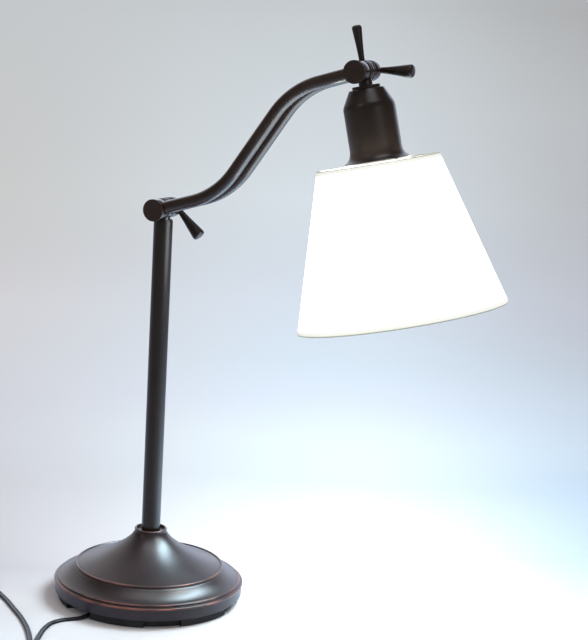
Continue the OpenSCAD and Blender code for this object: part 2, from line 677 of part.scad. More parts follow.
module shade_fabric() {
    color("#fbf8ee") at_head() rotate_extrude($fn = 144) polygon([
        [shade_top_r - lining, -shade_top], [shade_top_r, -shade_top],
        [shade_bottom_r, -shade_top - shade_h], [shade_bottom_r - lining, -shade_top - shade_h]]);
}
// The tape on the outside of the fabric, from s0 to s1 along the head axis
module shade_tape(s0, s1) {
    r0 = shade_top_r + shade_slope * (s0 - shade_top) + 0.02;
    r1 = shade_top_r + shade_slope * (s1 - shade_top) + 0.02;
    color("#e4e2cf") at_head() rotate_extrude($fn = 144) polygon([
        [r0, -s0], [r0 + 0.5, -s0], [r1 + 0.5, -s1], [r1, -s1]]);
}
module shade_top_trim() { shade_tape(shade_top, shade_top + trim_w); }
module shade_bottom_trim() { shade_tape(shade_top + shade_h - trim_w, shade_top + shade_h); }
module bulb_cap() {
    n = 5;
    color("#b9b9b4") at_head() rotate_extrude() polygon(concat(
        [[0, -bulb_tip], [4, -bulb_tip], [9, -bulb_tip - 3]],
        thread_profile(bulb_cap_r - 0.45, bulb_tip + 3.4, n),
        [[bulb_cap_r, -bulb_neck_s], [0, -bulb_neck_s]]));
}
// Half outline of the glass, inset by t: a neck that swells into a round end
function bulb_outline(t) = concat(
    [[bulb_cap_r - t, -bulb_neck_s - 0.05]],
    curve([[bulb_cap_r - t, -holder_bottom + 0.5], [bulb_cap_r - t, -holder_bottom - bulb_r * 0.4],
        [bulb_r - t, -bulb_centre + bulb_r * 13 / 15], [bulb_r - t, -bulb_centre]], 8),
    arc([0, -bulb_centre], bulb_r - t, -12, -90, 8));
module bulb_glass() {
    outer = bulb_outline(0);
    inner = bulb_outline(glass_t);
    color("#fff4d8") at_head() rotate_extrude()
        polygon(concat(outer, [for (i = [len(inner) - 1:-1:0]) inner[i]]));
}
module bulb_filament() {
    color("#f2d28a") at_head() rotate_extrude() polygon(concat(
        [[0, -bulb_neck_s - 0.05], [lamp_stem_r, -bulb_neck_s - 0.05],
         [lamp_stem_r, -bulb_neck_s - 0.3 * lamp_stem_len],
         [0.4 * lamp_stem_r, -bulb_neck_s - lamp_stem_len], [filament_r / 2, -bulb_centre + 22]],
        arc([0, -bulb_centre + 16], filament_r, 60, -90, 6)));
}
module head_lead() {
    color("#1b1b1c") at_head() translate([0, 0, -holder_top - 6])
        cylinder(r = lead_d / 2, h = holder_top - bore_r + 3.5);
}
module switch_knob() {
    shaft_y = shell_r - 5;
    knob_y = cup_r + 1;
    color("#1a1a1a") at_head() translate([0, 0, -knob_s]) difference() {
        union() {
            y_bore(knob_shaft_r, shaft_y, knob_y + 1);
            y_disc(knob_r, knob_y, knob_y + knob_w, 1);
        }
        for (i = [0:knob_grips - 1]) rotate([0, i * 360 / knob_grips, 0])
            translate([knob_r + 0.3, 0, 0]) y_bore(1, knob_y + 1.5, knob_y + knob_w + 3);
    }
}

// ---- Supply cord ----
module cord_tube() { color("#141416") sweep(spline(cord_route, 2), cord_w, cord_t); }
module cord_coil() {
    color("#141416") translate([coil_at.x, coil_at.y, 0.1]) rotate_extrude() polygon([
        [coil_in_r, 0], [coil_out_r, 0], [coil_out_r, coil_h - 0.1], [coil_in_r, coil_h - 0.1]]);
}
module cord_tie() {
    mid = (coil_in_r + coil_out_r) / 2;
    half = (coil_out_r - coil_in_r) / 2 + 0.1;
    color("#2a2a2c") translate([coil_at.x, coil_at.y, 0]) rotate([0, 0, 120]) difference() {
        translate([mid - half - tie_t, -tie_w / 2, 0]) cube([2 * (half + tie_t), tie_w, coil_h + tie_t]);
        rotate_extrude() polygon([
            [mid - half, 0], [mid + half, 0], [mid + half, coil_h + 0.1], [mid - half, coil_h + 0.1]]);
    }
}
module cord_tail() { color("#141416") sweep(spline(tail_route, 3), cord_w, cord_t); }
module at_plug() { translate(plug_at) rotate([0, 0, plug_deg]) children(); }
module plug_body() {
    color("#141416") at_plug() union() {
        rotate([0, 90, 0]) cylinder(r1 = plug_t * 0.3, r2 = plug_t * 0.38, h = plug_boot);
        hull() {
            translate([plug_boot, 0, 0]) cube([0.1, plug_w * 0.46, plug_t * 0.8], center = true);
            translate([plug_boot + plug_len * 0.45, 0, 0]) cube([0.1, plug_w * 0.92, plug_t], center = true);
            translate([plug_boot + plug_len, 0, 0]) cube([0.1, plug_w, plug_t], center = true);
        }
    }
}
module plug_blades() {
    color("#c9b27a") at_plug() for (s = [-1, 1]) let (h = blade_h + (s > 0 ? blade_extra : 0))
        translate([plug_boot + plug_len + 0.1, (s * blade_pitch - blade_t) / 2, -h / 2])
            cube([blade_len, blade_t, h]);
}

base_cover();
base_weight();
base_plate();
foot_ring();
post();
post_plug();
post_nipple();
post_nut();
lower_knuckle();
cord_gland();
stand_lead();
near_rod();
far_rod();
lower_near_eye();
lower_far_eye();
upper_near_eye();
upper_far_eye();
lower_washers();
upper_washers();
lower_bolt();
upper_bolt();
arm_lead();
lower_lever();
upper_lever();
upper_knuckle();
aiming_handle();
cap_plate();
lamp_cup();
cup_nut();
lampholder();
screw_shell();
centre_contact();
shade_ring_nut();
shade_spider();
shade_top_hoop();
shade_bottom_hoop();
shade_fabric();
shade_top_trim();
shade_bottom_trim();
bulb_cap();
bulb_glass();
bulb_filament();
head_lead();
switch_knob();
cord_tube();
cord_coil();
cord_tie();
cord_tail();
plug_body();
plug_blades();
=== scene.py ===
# %% [markdown]
# # A desk lamp with a cone shade
#
# A heavy round base carries a straight post. Two S-curved rods swing between two clamped
# joints, and the lamp head with its cloth shade hangs from the upper one. A solid model
# already gives every size and every moving body. Here each visible part gets its real
# surface and finish, in metres and in the same frame as the solids.

# %% Load the solid model
import math

import bmesh
import bpy
import numpy as np
from mathutils import Matrix


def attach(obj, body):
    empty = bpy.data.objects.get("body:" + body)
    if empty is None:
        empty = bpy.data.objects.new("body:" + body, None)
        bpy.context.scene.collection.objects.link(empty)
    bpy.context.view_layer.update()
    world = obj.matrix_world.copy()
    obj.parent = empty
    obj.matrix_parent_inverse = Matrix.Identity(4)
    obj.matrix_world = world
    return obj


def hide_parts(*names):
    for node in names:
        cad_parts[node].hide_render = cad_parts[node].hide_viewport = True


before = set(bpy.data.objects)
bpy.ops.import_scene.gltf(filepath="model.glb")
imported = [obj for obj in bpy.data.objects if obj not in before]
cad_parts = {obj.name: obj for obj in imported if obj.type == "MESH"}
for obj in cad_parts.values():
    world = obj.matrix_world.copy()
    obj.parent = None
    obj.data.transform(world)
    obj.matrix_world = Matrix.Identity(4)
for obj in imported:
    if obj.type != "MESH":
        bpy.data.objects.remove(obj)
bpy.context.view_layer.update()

MM = 0.001

# %% [markdown]
# ## The camera
#
# A photograph fixes the view: how far away the lens was, how it was turned, and how much
# it saw. The camera's three directions are worked out from yaw, pitch and roll, and they
# are the columns of its matrix. Turning a camera by eye could come close, but worked-out
# directions give the same view each time. A shift of half a pixel centres the picture.

# %% Set up the camera
yaw, pitch, roll = 0.4378, 0.1992, 0.0553
focal_px, picture_px, sensor_mm = 1906.3, 640, 36
eye = (0.9192, -1.6435, 0.6789)
ahead = np.array([-math.sin(yaw) * math.cos(pitch), math.cos(yaw) * math.cos(pitch), -math.sin(pitch)])
level = np.array([math.cos(yaw), math.sin(yaw), 0.0])
above = np.cross(level, ahead)
columns = np.eye(4)
columns[:3, 0] = math.cos(roll) * level + math.sin(roll) * above
columns[:3, 1] = math.cos(roll) * above - math.sin(roll) * level
columns[:3, 2] = -ahead
columns[:3, 3] = eye
lens = bpy.data.cameras.new("camera")
lens.lens = sensor_mm * focal_px / picture_px
lens.shift_x, lens.shift_y = -0.5 / picture_px, 0.5 / picture_px
lens.clip_end = 200
camera = bpy.data.objects.new("camera", lens)
camera.matrix_world = Matrix(columns.tolist())
bpy.context.scene.collection.objects.link(camera)
bpy.context.scene.camera = camera
print("lens of", round(lens.lens, 1), "mm")

# %% [markdown]
# ## The supply cord's route
#
# A flat twin lead, 1.8 m long, leaves the base through a notch. It lies in one loose loop
# on the table, then stands on edge and winds into a neat coil two layers deep. The route
# has to match the solid model's, so its points are repeated here. A smooth curve through
# them, and then a formula for the coil, give the centre line of the whole lead. A rope
# could be simulated as well, but a stored lead is laid by hand, and this one is laid through
# listed points.

# %% Lay out the route of the cord
cord_w, cord_t, cord_z = 5.4, 2.7, 1.45
route = [
    (-16.2, -70.2, 4.2), (-17.4, -75.4, 4), (-17.6, -80.5, 3.6), (-18.3, -85.8, 3),
    (-19.9, -91, 2.2), (-22.3, -95.8, 1.7), (-25.4, -99.9), (-35, -112),
    (-38.4, -125), (-35.5, -142), (-28.6, -161.5), (-23.1, -173.8),
    (-15.6, -181.3), (-5.3, -184.5), (6.3, -188.1), (14.6, -196.9),
    (17.5, -208.7), (14.3, -220.4), (5.8, -229), (-5.9, -232.4),
    (-17.7, -229.6), (-26.7, -221.4), (-30.5, -209.9), (-28.1, -198),
    (-25.8, -187.4), (-28.9, -177.3), (-38.9, -162.7), (-54, -145),
    (-72, -127), (-91, -111), (-110, -95), (-127, -82.5),
    (-145, -69.5), (-163, -57.5),
]
route = np.array([point if len(point) == 3 else (*point, cord_z) for point in route])
tail = np.array([(-204.9, -116.4, 8.2), (-196.8, -122.2, 7.9), (-187.8, -128.6, 7.1), (-179, -135, 6.2)])
print(len(route), "points to the coil and", len(tail), "from it to the plug")


# %% Helpers for a smooth route
def smooth(points, steps=6):
    """A cubic between each two points, whose slope at a point is half the step from the
    point before it to the point after it."""
    p = np.concatenate([points[:1], points, points[-1:]])
    a, b, c, d = (p[k:len(p) - 3 + k, None] for k in range(4))
    t = (np.arange(steps) / steps)[None, :, None]
    bend, twist = 2 * a - 5 * b + 4 * c - d, 3 * b - a - 3 * c + d
    curve = 0.5 * (2 * b + (c - a) * t + bend * t ** 2 + twist * t ** 3)
    return np.concatenate([curve.reshape(-1, 3), points[-1:]])


def lengths(path):
    """How far each point lies along the path: the sum of the steps before it."""
    return np.concatenate([[0], np.cumsum(np.linalg.norm(np.diff(path, axis=0), axis=1))])


def ease(t):
    """From 0 to 1 with a soft start and a soft end: 3 t squared less 2 t cubed."""
    t = np.clip(t, 0, 1)
    return t * t * (3 - 2 * t)


# %% [markdown]
# The coil is a spiral that runs inwards for half its turns and back outwards on top of
# itself. The lead on its edge stands as high as it is wide, so the second layer is lifted
# by that much, in a short step at the middle of the winding. Its points could be listed one
# by one like the loop's, but a winding is even, and a formula keeps it so.

# %% Wind the coil and finish the route
coil_at, coil_turns, coil_pitch = np.array([-184.0, -87.0]), 6.5, 2.85
on_edge_z, layer_rise, step_turns = cord_w / 2 + 0.1, 5.45, 0.4
roll_in, roll_out = 45, 30
to_coil = smooth(route)
left = lengths(to_coil)[-1] - lengths(to_coil)
on_edge_in = ease(1 - left / roll_in)
to_coil[:, 2] += np.sin(on_edge_in * math.pi / 2) * (on_edge_z - cord_z)
start = math.atan2(*(to_coil[-1, :2] - coil_at)[::-1])
outer = np.linalg.norm(to_coil[-1, :2] - coil_at)
turn = np.linspace(0, coil_turns, int(coil_turns * 40) + 1)[1:-1]
ring = outer - coil_pitch * np.minimum(turn, coil_turns - turn)
height = on_edge_z + layer_rise * ease((turn - coil_turns / 2 + step_turns) / step_turns)
bearing = start + 2 * np.pi * turn
coil = np.stack([coil_at[0] + ring * np.cos(bearing), coil_at[1] + ring * np.sin(bearing), height], 1)
to_plug = smooth(tail)
cord_path = np.concatenate([to_coil, coil, to_plug]) * MM
on_edge = np.concatenate([on_edge_in, np.ones(len(coil)), 1 - ease(lengths(to_plug) / roll_out)])
print("cord length", round(lengths(cord_path)[-1], 3), "m in", len(cord_path), "points")

# %% [markdown]
# ## Skins from grids of points
#
# Nearly everything on this lamp is turned on a lathe, bent from tube or rolled from cloth.
# Each such shape is a function of two parameters, so it is worked out as one array of
# points on a grid. The faces follow from the grid's own numbering. Closed ends shrink to
# one point, and merging the doubled points closes seams and poles. Blender's cylinders and
# cones could make some of them, but here each point can also say how worn it is, and on the
# shade's tapes where the painted shade of the folded edge falls.

# %% A skin through a grid of points
def skin(points, wrap=(True, False), reach=(1.0, 1.0), wear=None):
    """A mesh through points[i, j]: each face joins i, i + 1 and j, j + 1, and a wrapped side
    goes round to 0. The UV map runs over reach in metres, and wear is 1 where polish rubs off;
    on the shade's tapes it marks where the tape is folded, which is painted as shade."""
    nu, nv = points.shape[:2]
    faces_u, faces_v = nu if wrap[0] else nu - 1, nv if wrap[1] else nv - 1
    i, j = np.meshgrid(np.arange(faces_u), np.arange(faces_v), indexing="ij")
    i, j = i.ravel(), j.ravel()
    ci, cj = np.stack([i, i + 1, i + 1, i], 1), np.stack([j, j, j + 1, j + 1], 1)
    mesh = bpy.data.meshes.new("skin")
    mesh.from_pydata(points.reshape(-1, 3).tolist(), [], ((ci % nu) * nv + cj % nv).tolist())
    uv = np.stack([ci / faces_u * reach[0], cj / faces_v * reach[1]], -1)
    mesh.uv_layers.new(name="UVMap").data.foreach_set("uv", uv.ravel())
    rubbed = np.zeros((nu, nv)) if wear is None else np.broadcast_to(wear, (nu, nv))
    marks = mesh.attributes.new("wear", "FLOAT", "POINT").data
    marks.foreach_set("value", rubbed.ravel().astype(np.float32))
    return mesh


# %% One object from one or more skins
def piece(name, body, finish, skins, replaces=(), sharp=35):
    """Skins joined into one object that rides on a body, with doubled points merged, faces
    outwards, and a crease wherever two faces meet at more than sharp degrees."""
    work = bmesh.new()
    for part in skins:
        work.from_mesh(part)
    bmesh.ops.remove_doubles(work, verts=work.verts, dist=2e-6)
    loose = [edge for edge in work.edges if not edge.link_faces]
    bmesh.ops.delete(work, geom=loose, context="EDGES")
    bmesh.ops.recalc_face_normals(work, faces=work.faces)
    mesh = bpy.data.meshes.new(name)
    work.to_mesh(mesh)
    work.free()
    mesh.polygons.foreach_set("use_smooth", np.ones(len(mesh.polygons), bool))
    mesh.set_sharp_from_angle(angle=math.radians(sharp))
    mesh.materials.append(finish["material"])
    thing = bpy.data.objects.new(name, mesh)
    bpy.context.scene.collection.objects.link(thing)
    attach(thing, body)
    if replaces:
        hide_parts(*replaces)
    print(f"{name}: {len(mesh.polygons)} faces")
    return thing


# %% Where a part sits
def seat(origin, x_axis, z_axis):
    """A place: origin in millimetres, with the part's own axis along z_axis."""
    place = np.eye(4)
    z = np.asarray(z_axis, float) / np.linalg.norm(z_axis)
    x = np.asarray(x_axis, float) / np.linalg.norm(x_axis)
    place[:3, 0], place[:3, 1], place[:3, 2] = x, np.cross(z, x), z
    place[:3, 3] = np.asarray(origin) * MM
    return place


def moved(points, place):
    """Points turned and shifted to a place."""
    return points @ place[:3, :3].T + place[:3, 3]


# %% Carry an outline round an axis or along a path
def turned(rows, place=np.eye(4), sides=96, loop=False):
    """Lathe work: point(angle, k) = (r[k] cos angle, r[k] sin angle, h[k]), moved to place."""
    r, h, wear = np.asarray(rows, float).T
    angle = np.linspace(0, 2 * np.pi, sides, endpoint=False)
    points = [np.outer(np.cos(angle), r), np.outer(np.sin(angle), r), np.tile(h, (sides, 1))]
    girth = 2 * np.pi * r.max() * MM
    run = np.hypot(np.diff(r), np.diff(h)).sum() * MM
    return skin(moved(np.stack(points, -1) * MM, place), (True, loop), (girth, run), wear)


def carried(path, side, lift, section, closed=False):
    """Bent work: point(k, s) = path[s] + section[k].x side[s] + section[k].y lift[s].
    An open run gets a closed pole at each end, where the section has shrunk to nothing."""
    scale = np.ones(len(path))
    if not closed:
        path, side, lift = (np.concatenate([a[:1], a, a[-1:]]) for a in (path, side, lift))
        scale = np.concatenate([[0], scale, [0]])
    flat = section[:, None, 0, None] * side + section[:, None, 1, None] * lift
    run = np.linalg.norm(np.diff(path, axis=0), axis=1).sum()
    girth = np.linalg.norm(np.diff(section, axis=0), axis=1).sum()
    return skin(path + flat * scale[None, :, None], (True, closed), (girth, run))


def circle_of(radius, sides=48):
    """A round section: radius times the cosine and the sine of each angle."""
    a = np.linspace(0, 2 * np.pi, sides, endpoint=False)
    return np.stack([np.cos(a), np.sin(a)], 1) * radius


# %% [markdown]
# ## Outlines
#
# A turned part is drawn as half its section: radius and height for each point, and how
# rubbed it is. Straight runs, arcs and soft curves are joined end to end, and sharp
# corners are eased, because a real edge always catches a thin line of light. A Bevel
# modifier could ease them later, but it doesn't know which edges a hand rubs.

# %% Draw pieces of an outline
def bow(centre, radius, first, last, count=10, wear=0.0):
    """An arc, centre + radius (cos a, sin a), for a from first to last in degrees, worn most
    in its middle."""
    a = np.radians(np.linspace(first, last, count + 1))
    rub = wear * np.sin(np.linspace(0.12, np.pi - 0.12, count + 1))
    return np.stack([centre[0] + radius * np.cos(a), centre[1] + radius * np.sin(a), rub], 1)


def flow(p0, p1, p2, p3, count=16):
    """A cubic curve from p0 to p3, pulled towards p1 and p2, with no wear on it:
    u^3 p0 + 3 t u^2 p1 + 3 t^2 u p2 + t^3 p3, where u = 1 - t."""
    p = np.array([p0, p1, p2, p3], float)
    t = np.linspace(0, 1, count + 1)[:, None]
    u = 1 - t
    xy = u ** 3 * p[0] + 3 * t * u ** 2 * p[1] + 3 * t * t * u * p[2] + t ** 3 * p[3]
    return np.column_stack([xy, np.zeros(count + 1)])


def eased(corners, radius=0.4, wear=1.0, loop=False):
    """Straight runs between corners, each corner a small curve that is worn most in its
    middle: (1 - t)^2 a + 2 t (1 - t) c + t^2 b, from a before the corner c to b after it."""
    c = np.asarray(corners, float)
    before, after = c - np.roll(c, 1, 0), np.roll(c, -1, 0) - c
    long_a, long_b = (np.linalg.norm(d, axis=1, keepdims=True) for d in (before, after))
    r = np.minimum(radius, 0.4 * np.minimum(long_a, long_b))
    a, b = c - before / long_a * r, c + after / long_b * r
    t = np.linspace(0, 1, 6)[None, :, None]
    turn = (1 - t) ** 2 * a[:, None] + 2 * t * (1 - t) * c[:, None] + t * t * b[:, None]
    far_a = c - before / long_a * np.minimum(3 * r, long_a / 2)
    far_b = c + after / long_b * np.minimum(3 * r, long_b / 2)
    xy = np.concatenate([far_a[:, None], turn, far_b[:, None]], 1)
    rub = np.tile(wear * np.array([0, 0.5, 1, 1, 1, 1, 0.5, 0]), (len(c), 1))
    rows = np.concatenate([xy, rub[..., None]], -1)
    if loop:
        return rows.reshape(-1, 3)
    ends = np.column_stack([c[[0, -1]], [0, 0]])
    return np.vstack([ends[:1], rows[1:-1].reshape(-1, 3), ends[1:]])


# %% [markdown]
# ## How a finish is made
#
# A real surface is never one flat colour. Each finish here starts from noise or waves in
# the object's own coordinates, turns that into a colour, a roughness and a fine relief,
# and keeps every fixed number on the shader itself. Image textures could do the same, but
# a formula has no seams and needs no files. Small helpers add the nodes, so that a finish
# reads as a short recipe.

# %% Helpers for shader nodes
def join(tree, kind, inputs=None, **settings):
    """One node of that kind, set up, with each input joined to a socket or set to a value."""
    node = tree.nodes.new("ShaderNode" + kind)
    for key, value in settings.items():
        setattr(node, key, value)
    for key, value in (inputs or {}).items():
        if isinstance(value, bpy.types.NodeSocket):
            tree.links.new(value, node.inputs[key])
        else:
            node.inputs[key].default_value = value
    return node


# %% Patterns and colours
def noise(tree, scale, detail=3.0, stretch=(1, 1, 1)):
    """Cloudy noise, scale cycles to the metre, drawn out along an axis by stretch."""
    where = join(tree, "TexCoord").outputs["Object"]
    where = join(tree, "Mapping", {"Vector": where, "Scale": stretch}).outputs["Vector"]
    return join(tree, "TexNoise", {"Vector": where, "Scale": scale, "Detail": detail}).outputs["Fac"]


def ramp(tree, value, *stops):
    """Colours along a scale from 0 to 1: each stop is (place, (red, green, blue))."""
    node = join(tree, "ValToRGB", {"Fac": value})
    marks = node.color_ramp.elements
    while len(marks) < len(stops):
        marks.new(0.5)
    for mark, (place, colour) in zip(marks, stops):
        mark.position, mark.color = place, (*colour, 1)
    return node.outputs["Color"]


# %% Sums in nodes
def level_of(tree, value, low, high, to_low, to_high):
    """value from low to high becomes to_low to to_high."""
    ends = {"From Min": low, "From Max": high, "To Min": to_low, "To Max": to_high}
    return join(tree, "MapRange", {"Value": value, **ends}).outputs["Result"]


def math_of(tree, operation, a, b):
    """One sum of two values."""
    return join(tree, "Math", {0: a, 1: b}, operation=operation).outputs[0]


def vector_of(tree, operation, a, b, output="Vector"):
    """One sum of two vectors."""
    return join(tree, "VectorMath", {0: a, 1: b}, operation=operation).outputs[output]


def blended(tree, share, a, b):
    """Colour a where share is 0 and colour b where it is 1."""
    return join(tree, "Mix", {0: share, 6: a, 7: b}, data_type="RGBA").outputs[2]


# %% Start a finish and give it relief
def new_finish(slot, **constants):
    """A material for one slot of the record: (its dictionary, its node tree, its shader)."""
    material = bpy.data.materials.new("finish_" + slot)
    material.use_nodes = True
    shader = material.node_tree.nodes["Principled BSDF"]
    for socket, value in constants.items():
        shader.inputs[socket.replace("_", " ")].default_value = value
    return {"slot": slot, "material": material}, material.node_tree, shader


def relief(tree, shader, height, strength, distance):
    """Height as fine bumps on the shader's surface, distance in metres."""
    bump = join(tree, "Bump", {"Height": height, "Strength": strength, "Distance": distance})
    tree.links.new(bump.outputs["Normal"], shader.inputs["Normal"])


# %% Plastic and rubber
def moulded_finish(slot, dark, light, rough, gloss=0.5, grain=500.0, cloud_scale=70):
    """Moulded plastic or rubber: two close tones, uneven gloss and a fine skin. Both scales
    are cycles to the metre."""
    finish, tree, shader = new_finish(slot, Specular_IOR_Level=gloss)
    clouds = noise(tree, cloud_scale)
    tree.links.new(ramp(tree, clouds, (0.3, dark), (0.7, light)), shader.inputs["Base Color"])
    uneven = level_of(tree, clouds, 0.3, 0.7, rough - 0.06, rough + 0.08)
    tree.links.new(uneven, shader.inputs["Roughness"])
    relief(tree, shader, noise(tree, grain, 2), 0.25, 0.0002)
    return finish


# %% [markdown]
# ## The cord as a flat twin lead
#
# Two round wires side by side share one jacket, so the section is a flat figure of eight.
# It is carried along the route with its wide side level, and it rolls on its edge where
# the coil begins. The side direction is level and square to the route, and the roll turns
# it towards the lift direction. A curve object with a bevel would suit a round cord, but a
# flat one has to be told which way its wide side faces.

# %% Turn the section along the route
run = np.gradient(cord_path, axis=0)
run /= np.linalg.norm(run, axis=1, keepdims=True)
side = np.cross([0.0, 0.0, 1.0], run)
side /= np.linalg.norm(side, axis=1, keepdims=True)
lift = np.cross(run, side)
roll_by = on_edge[:, None] * math.pi / 2
flat_side = side * np.cos(roll_by) + lift * np.sin(roll_by)
flat_lift = lift * np.cos(roll_by) - side * np.sin(roll_by)
print("most tilted point:", round(float(np.degrees(roll_by).max())), "degrees")

# %% Sheathe the cord
jacket = moulded_finish("cord_jacket", (0.009, 0.009, 0.011), (0.016, 0.017, 0.020), 0.24, 0.2, 300)
wire_r, waist = cord_t / 2, 0.85
around = np.linspace(0, 2 * np.pi, 28, endpoint=False)
across = cord_w / 2 * np.cos(around)
lobe = np.sqrt(np.clip(wire_r ** 2 - (np.abs(across) - wire_r) ** 2, 0, None))
lobe = np.where(np.abs(across) < wire_r, np.maximum(lobe, waist), lobe)
section = np.stack([across, lobe * np.sign(np.sin(around) + 1e-9)], 1) * MM
cord_skin = carried(cord_path, flat_side, flat_lift, section)
cord = piece("cord", "stand", jacket, [cord_skin], ["cord_tube", "cord_coil", "cord_tail"], 60)

# %% [markdown]
# ## The plug and the tie
#
# The plug is a rounded block that widens from the lead to the face, so its section changes
# from a circle to a soft rectangle. A superellipse does both: its power grows along the
# plug. Small waves in its width and height make the grips. A cube with bevels would do for
# the block, but not for the soft change from round to square.

# %% Shape the plug
plug_plastic = moulded_finish("plug_plastic", (0.014, 0.014, 0.016), (0.026, 0.026, 0.029), 0.38)
plug_heading = math.radians(-35.5)
from_lead = np.concatenate([np.linspace(0, 14, 12), np.linspace(14.3, 39, 26), [39.6, 39.95, 40.0]])
half_w = np.interp(from_lead, [0, 13, 15, 22, 27, 39, 39.6, 40],
                   [3.6, 4.5, 5.6, 10.2, 11.2, 12, 11.8, 11.3])
half_h = np.interp(from_lead, [0, 13, 15, 20, 39, 39.6, 40], [3.6, 4.5, 4.8, 5.8, 6.0, 5.8, 5.3])
power = np.interp(from_lead, [0, 13, 22, 40], [1.0, 1.0, 0.55, 0.45])


def grips(deep, apart, first, last, soft):
    """Waves of deep (1 + cos(2 pi s / apart)) / 2, with s the distance from the lead, in
    millimetres. They fade in after first and out before last."""
    wave = 0.5 + 0.5 * np.cos(2 * np.pi * from_lead / apart)
    return deep * wave * ease((from_lead - first) / soft) * ease((last - from_lead) / soft)


half_h -= grips(0.35, 3.2, 20, 36, 2)
half_h -= grips(0.5, 2.6, 1.5, 11.5, 1.5)
half_w -= grips(0.5, 2.6, 1.5, 11.5, 1.5)
print("plug", round(2 * half_w.max(), 1), "by", round(2 * half_h.max(), 1), "mm")

# %% Mould the plug
angle = np.linspace(0, 2 * np.pi, 72, endpoint=False)[:, None]
wide = half_w * np.sign(np.cos(angle)) * np.abs(np.cos(angle)) ** power
high = half_h * np.sign(np.sin(angle)) * np.abs(np.sin(angle)) ** power
block = np.stack([np.tile(from_lead, (len(angle), 1)), wide, high], -1)
block = np.concatenate([block[:, :1] * [1, 0, 0], block, block[:, -1:] * [1, 0, 0]], 1) * MM
plug_place = seat(tail[-1], (math.cos(plug_heading), math.sin(plug_heading), 0), (0, 0, 1))
plug = piece("plug", "stand", plug_plastic, [skin(moved(block, plug_place))], ["plug_body"])

# %% [markdown]
# A strap round the coil holds the stored lead. Its path is a rounded rectangle across the
# coil, and its section is flat, so the same carrying function makes it as a closed ring.

# %% Strap the coil
strap_bearing, strap_out, strap_corner = math.radians(120), 31, 1.6
strap_half, strap_low, strap_high, strap_w, strap_t = 7.05, 0.5, 11.5, 3.0, 0.42
corner = eased([(-strap_half, strap_low), (strap_half, strap_low), (strap_half, strap_high),
                (-strap_half, strap_high)], strap_corner, 0, loop=True)[:, :2]
out_dir = np.array([math.cos(strap_bearing), math.sin(strap_bearing), 0])
along_dir = np.array([-out_dir[1], out_dir[0], 0])
band = np.array([*coil_at, 0]) + np.outer(corner[:, 0] + strap_out, out_dir)
band += np.outer(corner[:, 1], [0, 0, 1])
band_out = np.cross(np.roll(band, -1, 0) - np.roll(band, 1, 0), along_dir)
band_out /= np.linalg.norm(band_out, axis=1, keepdims=True)
strap = circle_of(1.0, 24)
strap = np.sign(strap) * np.abs(strap) ** 0.5 * [strap_w, strap_t] * MM
band_along = np.tile(along_dir, (len(band), 1))
band_skin = carried(band * MM, band_along, band_out, strap, closed=True)
tie = piece("tie", "stand", plug_plastic, [band_skin], ["cord_tie"])

# %% [markdown]
# ## The bronze
#
# The metal parts are sprayed dark brown and satin, and the makers rub the ridges through
# to a copper tone. The wear attribute that each turned outline carries says where a ridge
# is. Noise breaks the rubbed line up, so no edge looks ruled. Wear could be painted on by
# hand, but an attribute on the outline goes all the way round. The same recipe serves four
# finishes: glossy rods, a satin post, levers and cup, a soft sheen on the base, and dull
# discs.

# %% Mix the bronze finishes
cloud_scale, patch_scale, peel_scale = 28, 42, 900


def bronze_finish(slot, dark, light, copper, rough, rubbed, coat):
    """Dark brown with slow clouds, a copper tone where wear is high, and a fine orange peel.
    The bare share is wear to the power 2.5, times patches of noise up to rubbed. coat is the
    lacquer's weight and roughness, and the strength of its orange peel."""
    coat_weight, coat_rough, peel = coat
    finish, tree, shader = new_finish(slot, Coat_Weight=coat_weight, Coat_Roughness=coat_rough,
                                      Coat_IOR=1.5, Specular_IOR_Level=0.42)
    clouds = noise(tree, cloud_scale, 4)
    body = ramp(tree, clouds, (0.3, dark), (0.72, light))
    patches = noise(tree, patch_scale, 5)
    wear = join(tree, "Attribute", attribute_name="wear").outputs["Fac"]
    bare = level_of(tree, patches, 0.40, 0.58, rubbed * 0.15, rubbed)
    share = math_of(tree, "MULTIPLY", math_of(tree, "POWER", wear, 2.5), bare)
    tree.links.new(blended(tree, share, body, (*copper, 1)), shader.inputs["Base Color"])
    tree.links.new(math_of(tree, "MULTIPLY", share, 0.7), shader.inputs["Metallic"])
    uneven = level_of(tree, clouds, 0.3, 0.7, rough - 0.04, rough + 0.05)
    tree.links.new(uneven, shader.inputs["Roughness"])
    relief(tree, shader, noise(tree, peel_scale, 2), peel, 0.0002)
    return finish


rubbed_copper = (0.30, 0.115, 0.08)
bronze = bronze_finish("bronze", (0.015, 0.0085, 0.0060), (0.026, 0.0150, 0.0105),
                       rubbed_copper, 0.25, 0.6, (0.8, 0.10, 0.02))
bronze_satin = bronze_finish("bronze", (0.0130, 0.0083, 0.0060), (0.0162, 0.0100, 0.0072),
                             rubbed_copper, 0.34, 0.6, (0.42, 0.26, 0.03))
bronze_base = bronze_finish("bronze", (0.0120, 0.0062, 0.0070), (0.0200, 0.0108, 0.0120),
                            (0.34, 0.12, 0.085), 0.33, 0.9, (0.42, 0.31, 0.05))
bronze_flat = bronze_finish("bronze_flat", (0.021, 0.0105, 0.0065), (0.031, 0.0160, 0.0100),
                            (0.18, 0.09, 0.06), 0.45, 0.3, (0.1, 0.3, 0.05))
print("bronze finishes ready")

# %% [markdown]
# ## The base
#
# The cover is spun from sheet: an upright band, two beads, a hollow cove, a raised disc
# with its own bead, and a bell that sweeps up to a lipped neck. Stacked cones and rings
# could copy it, but their joins would show in the highlights, so it is one closed outline,
# outside and inside, turned once. The beads and the lip are the places that are rubbed.

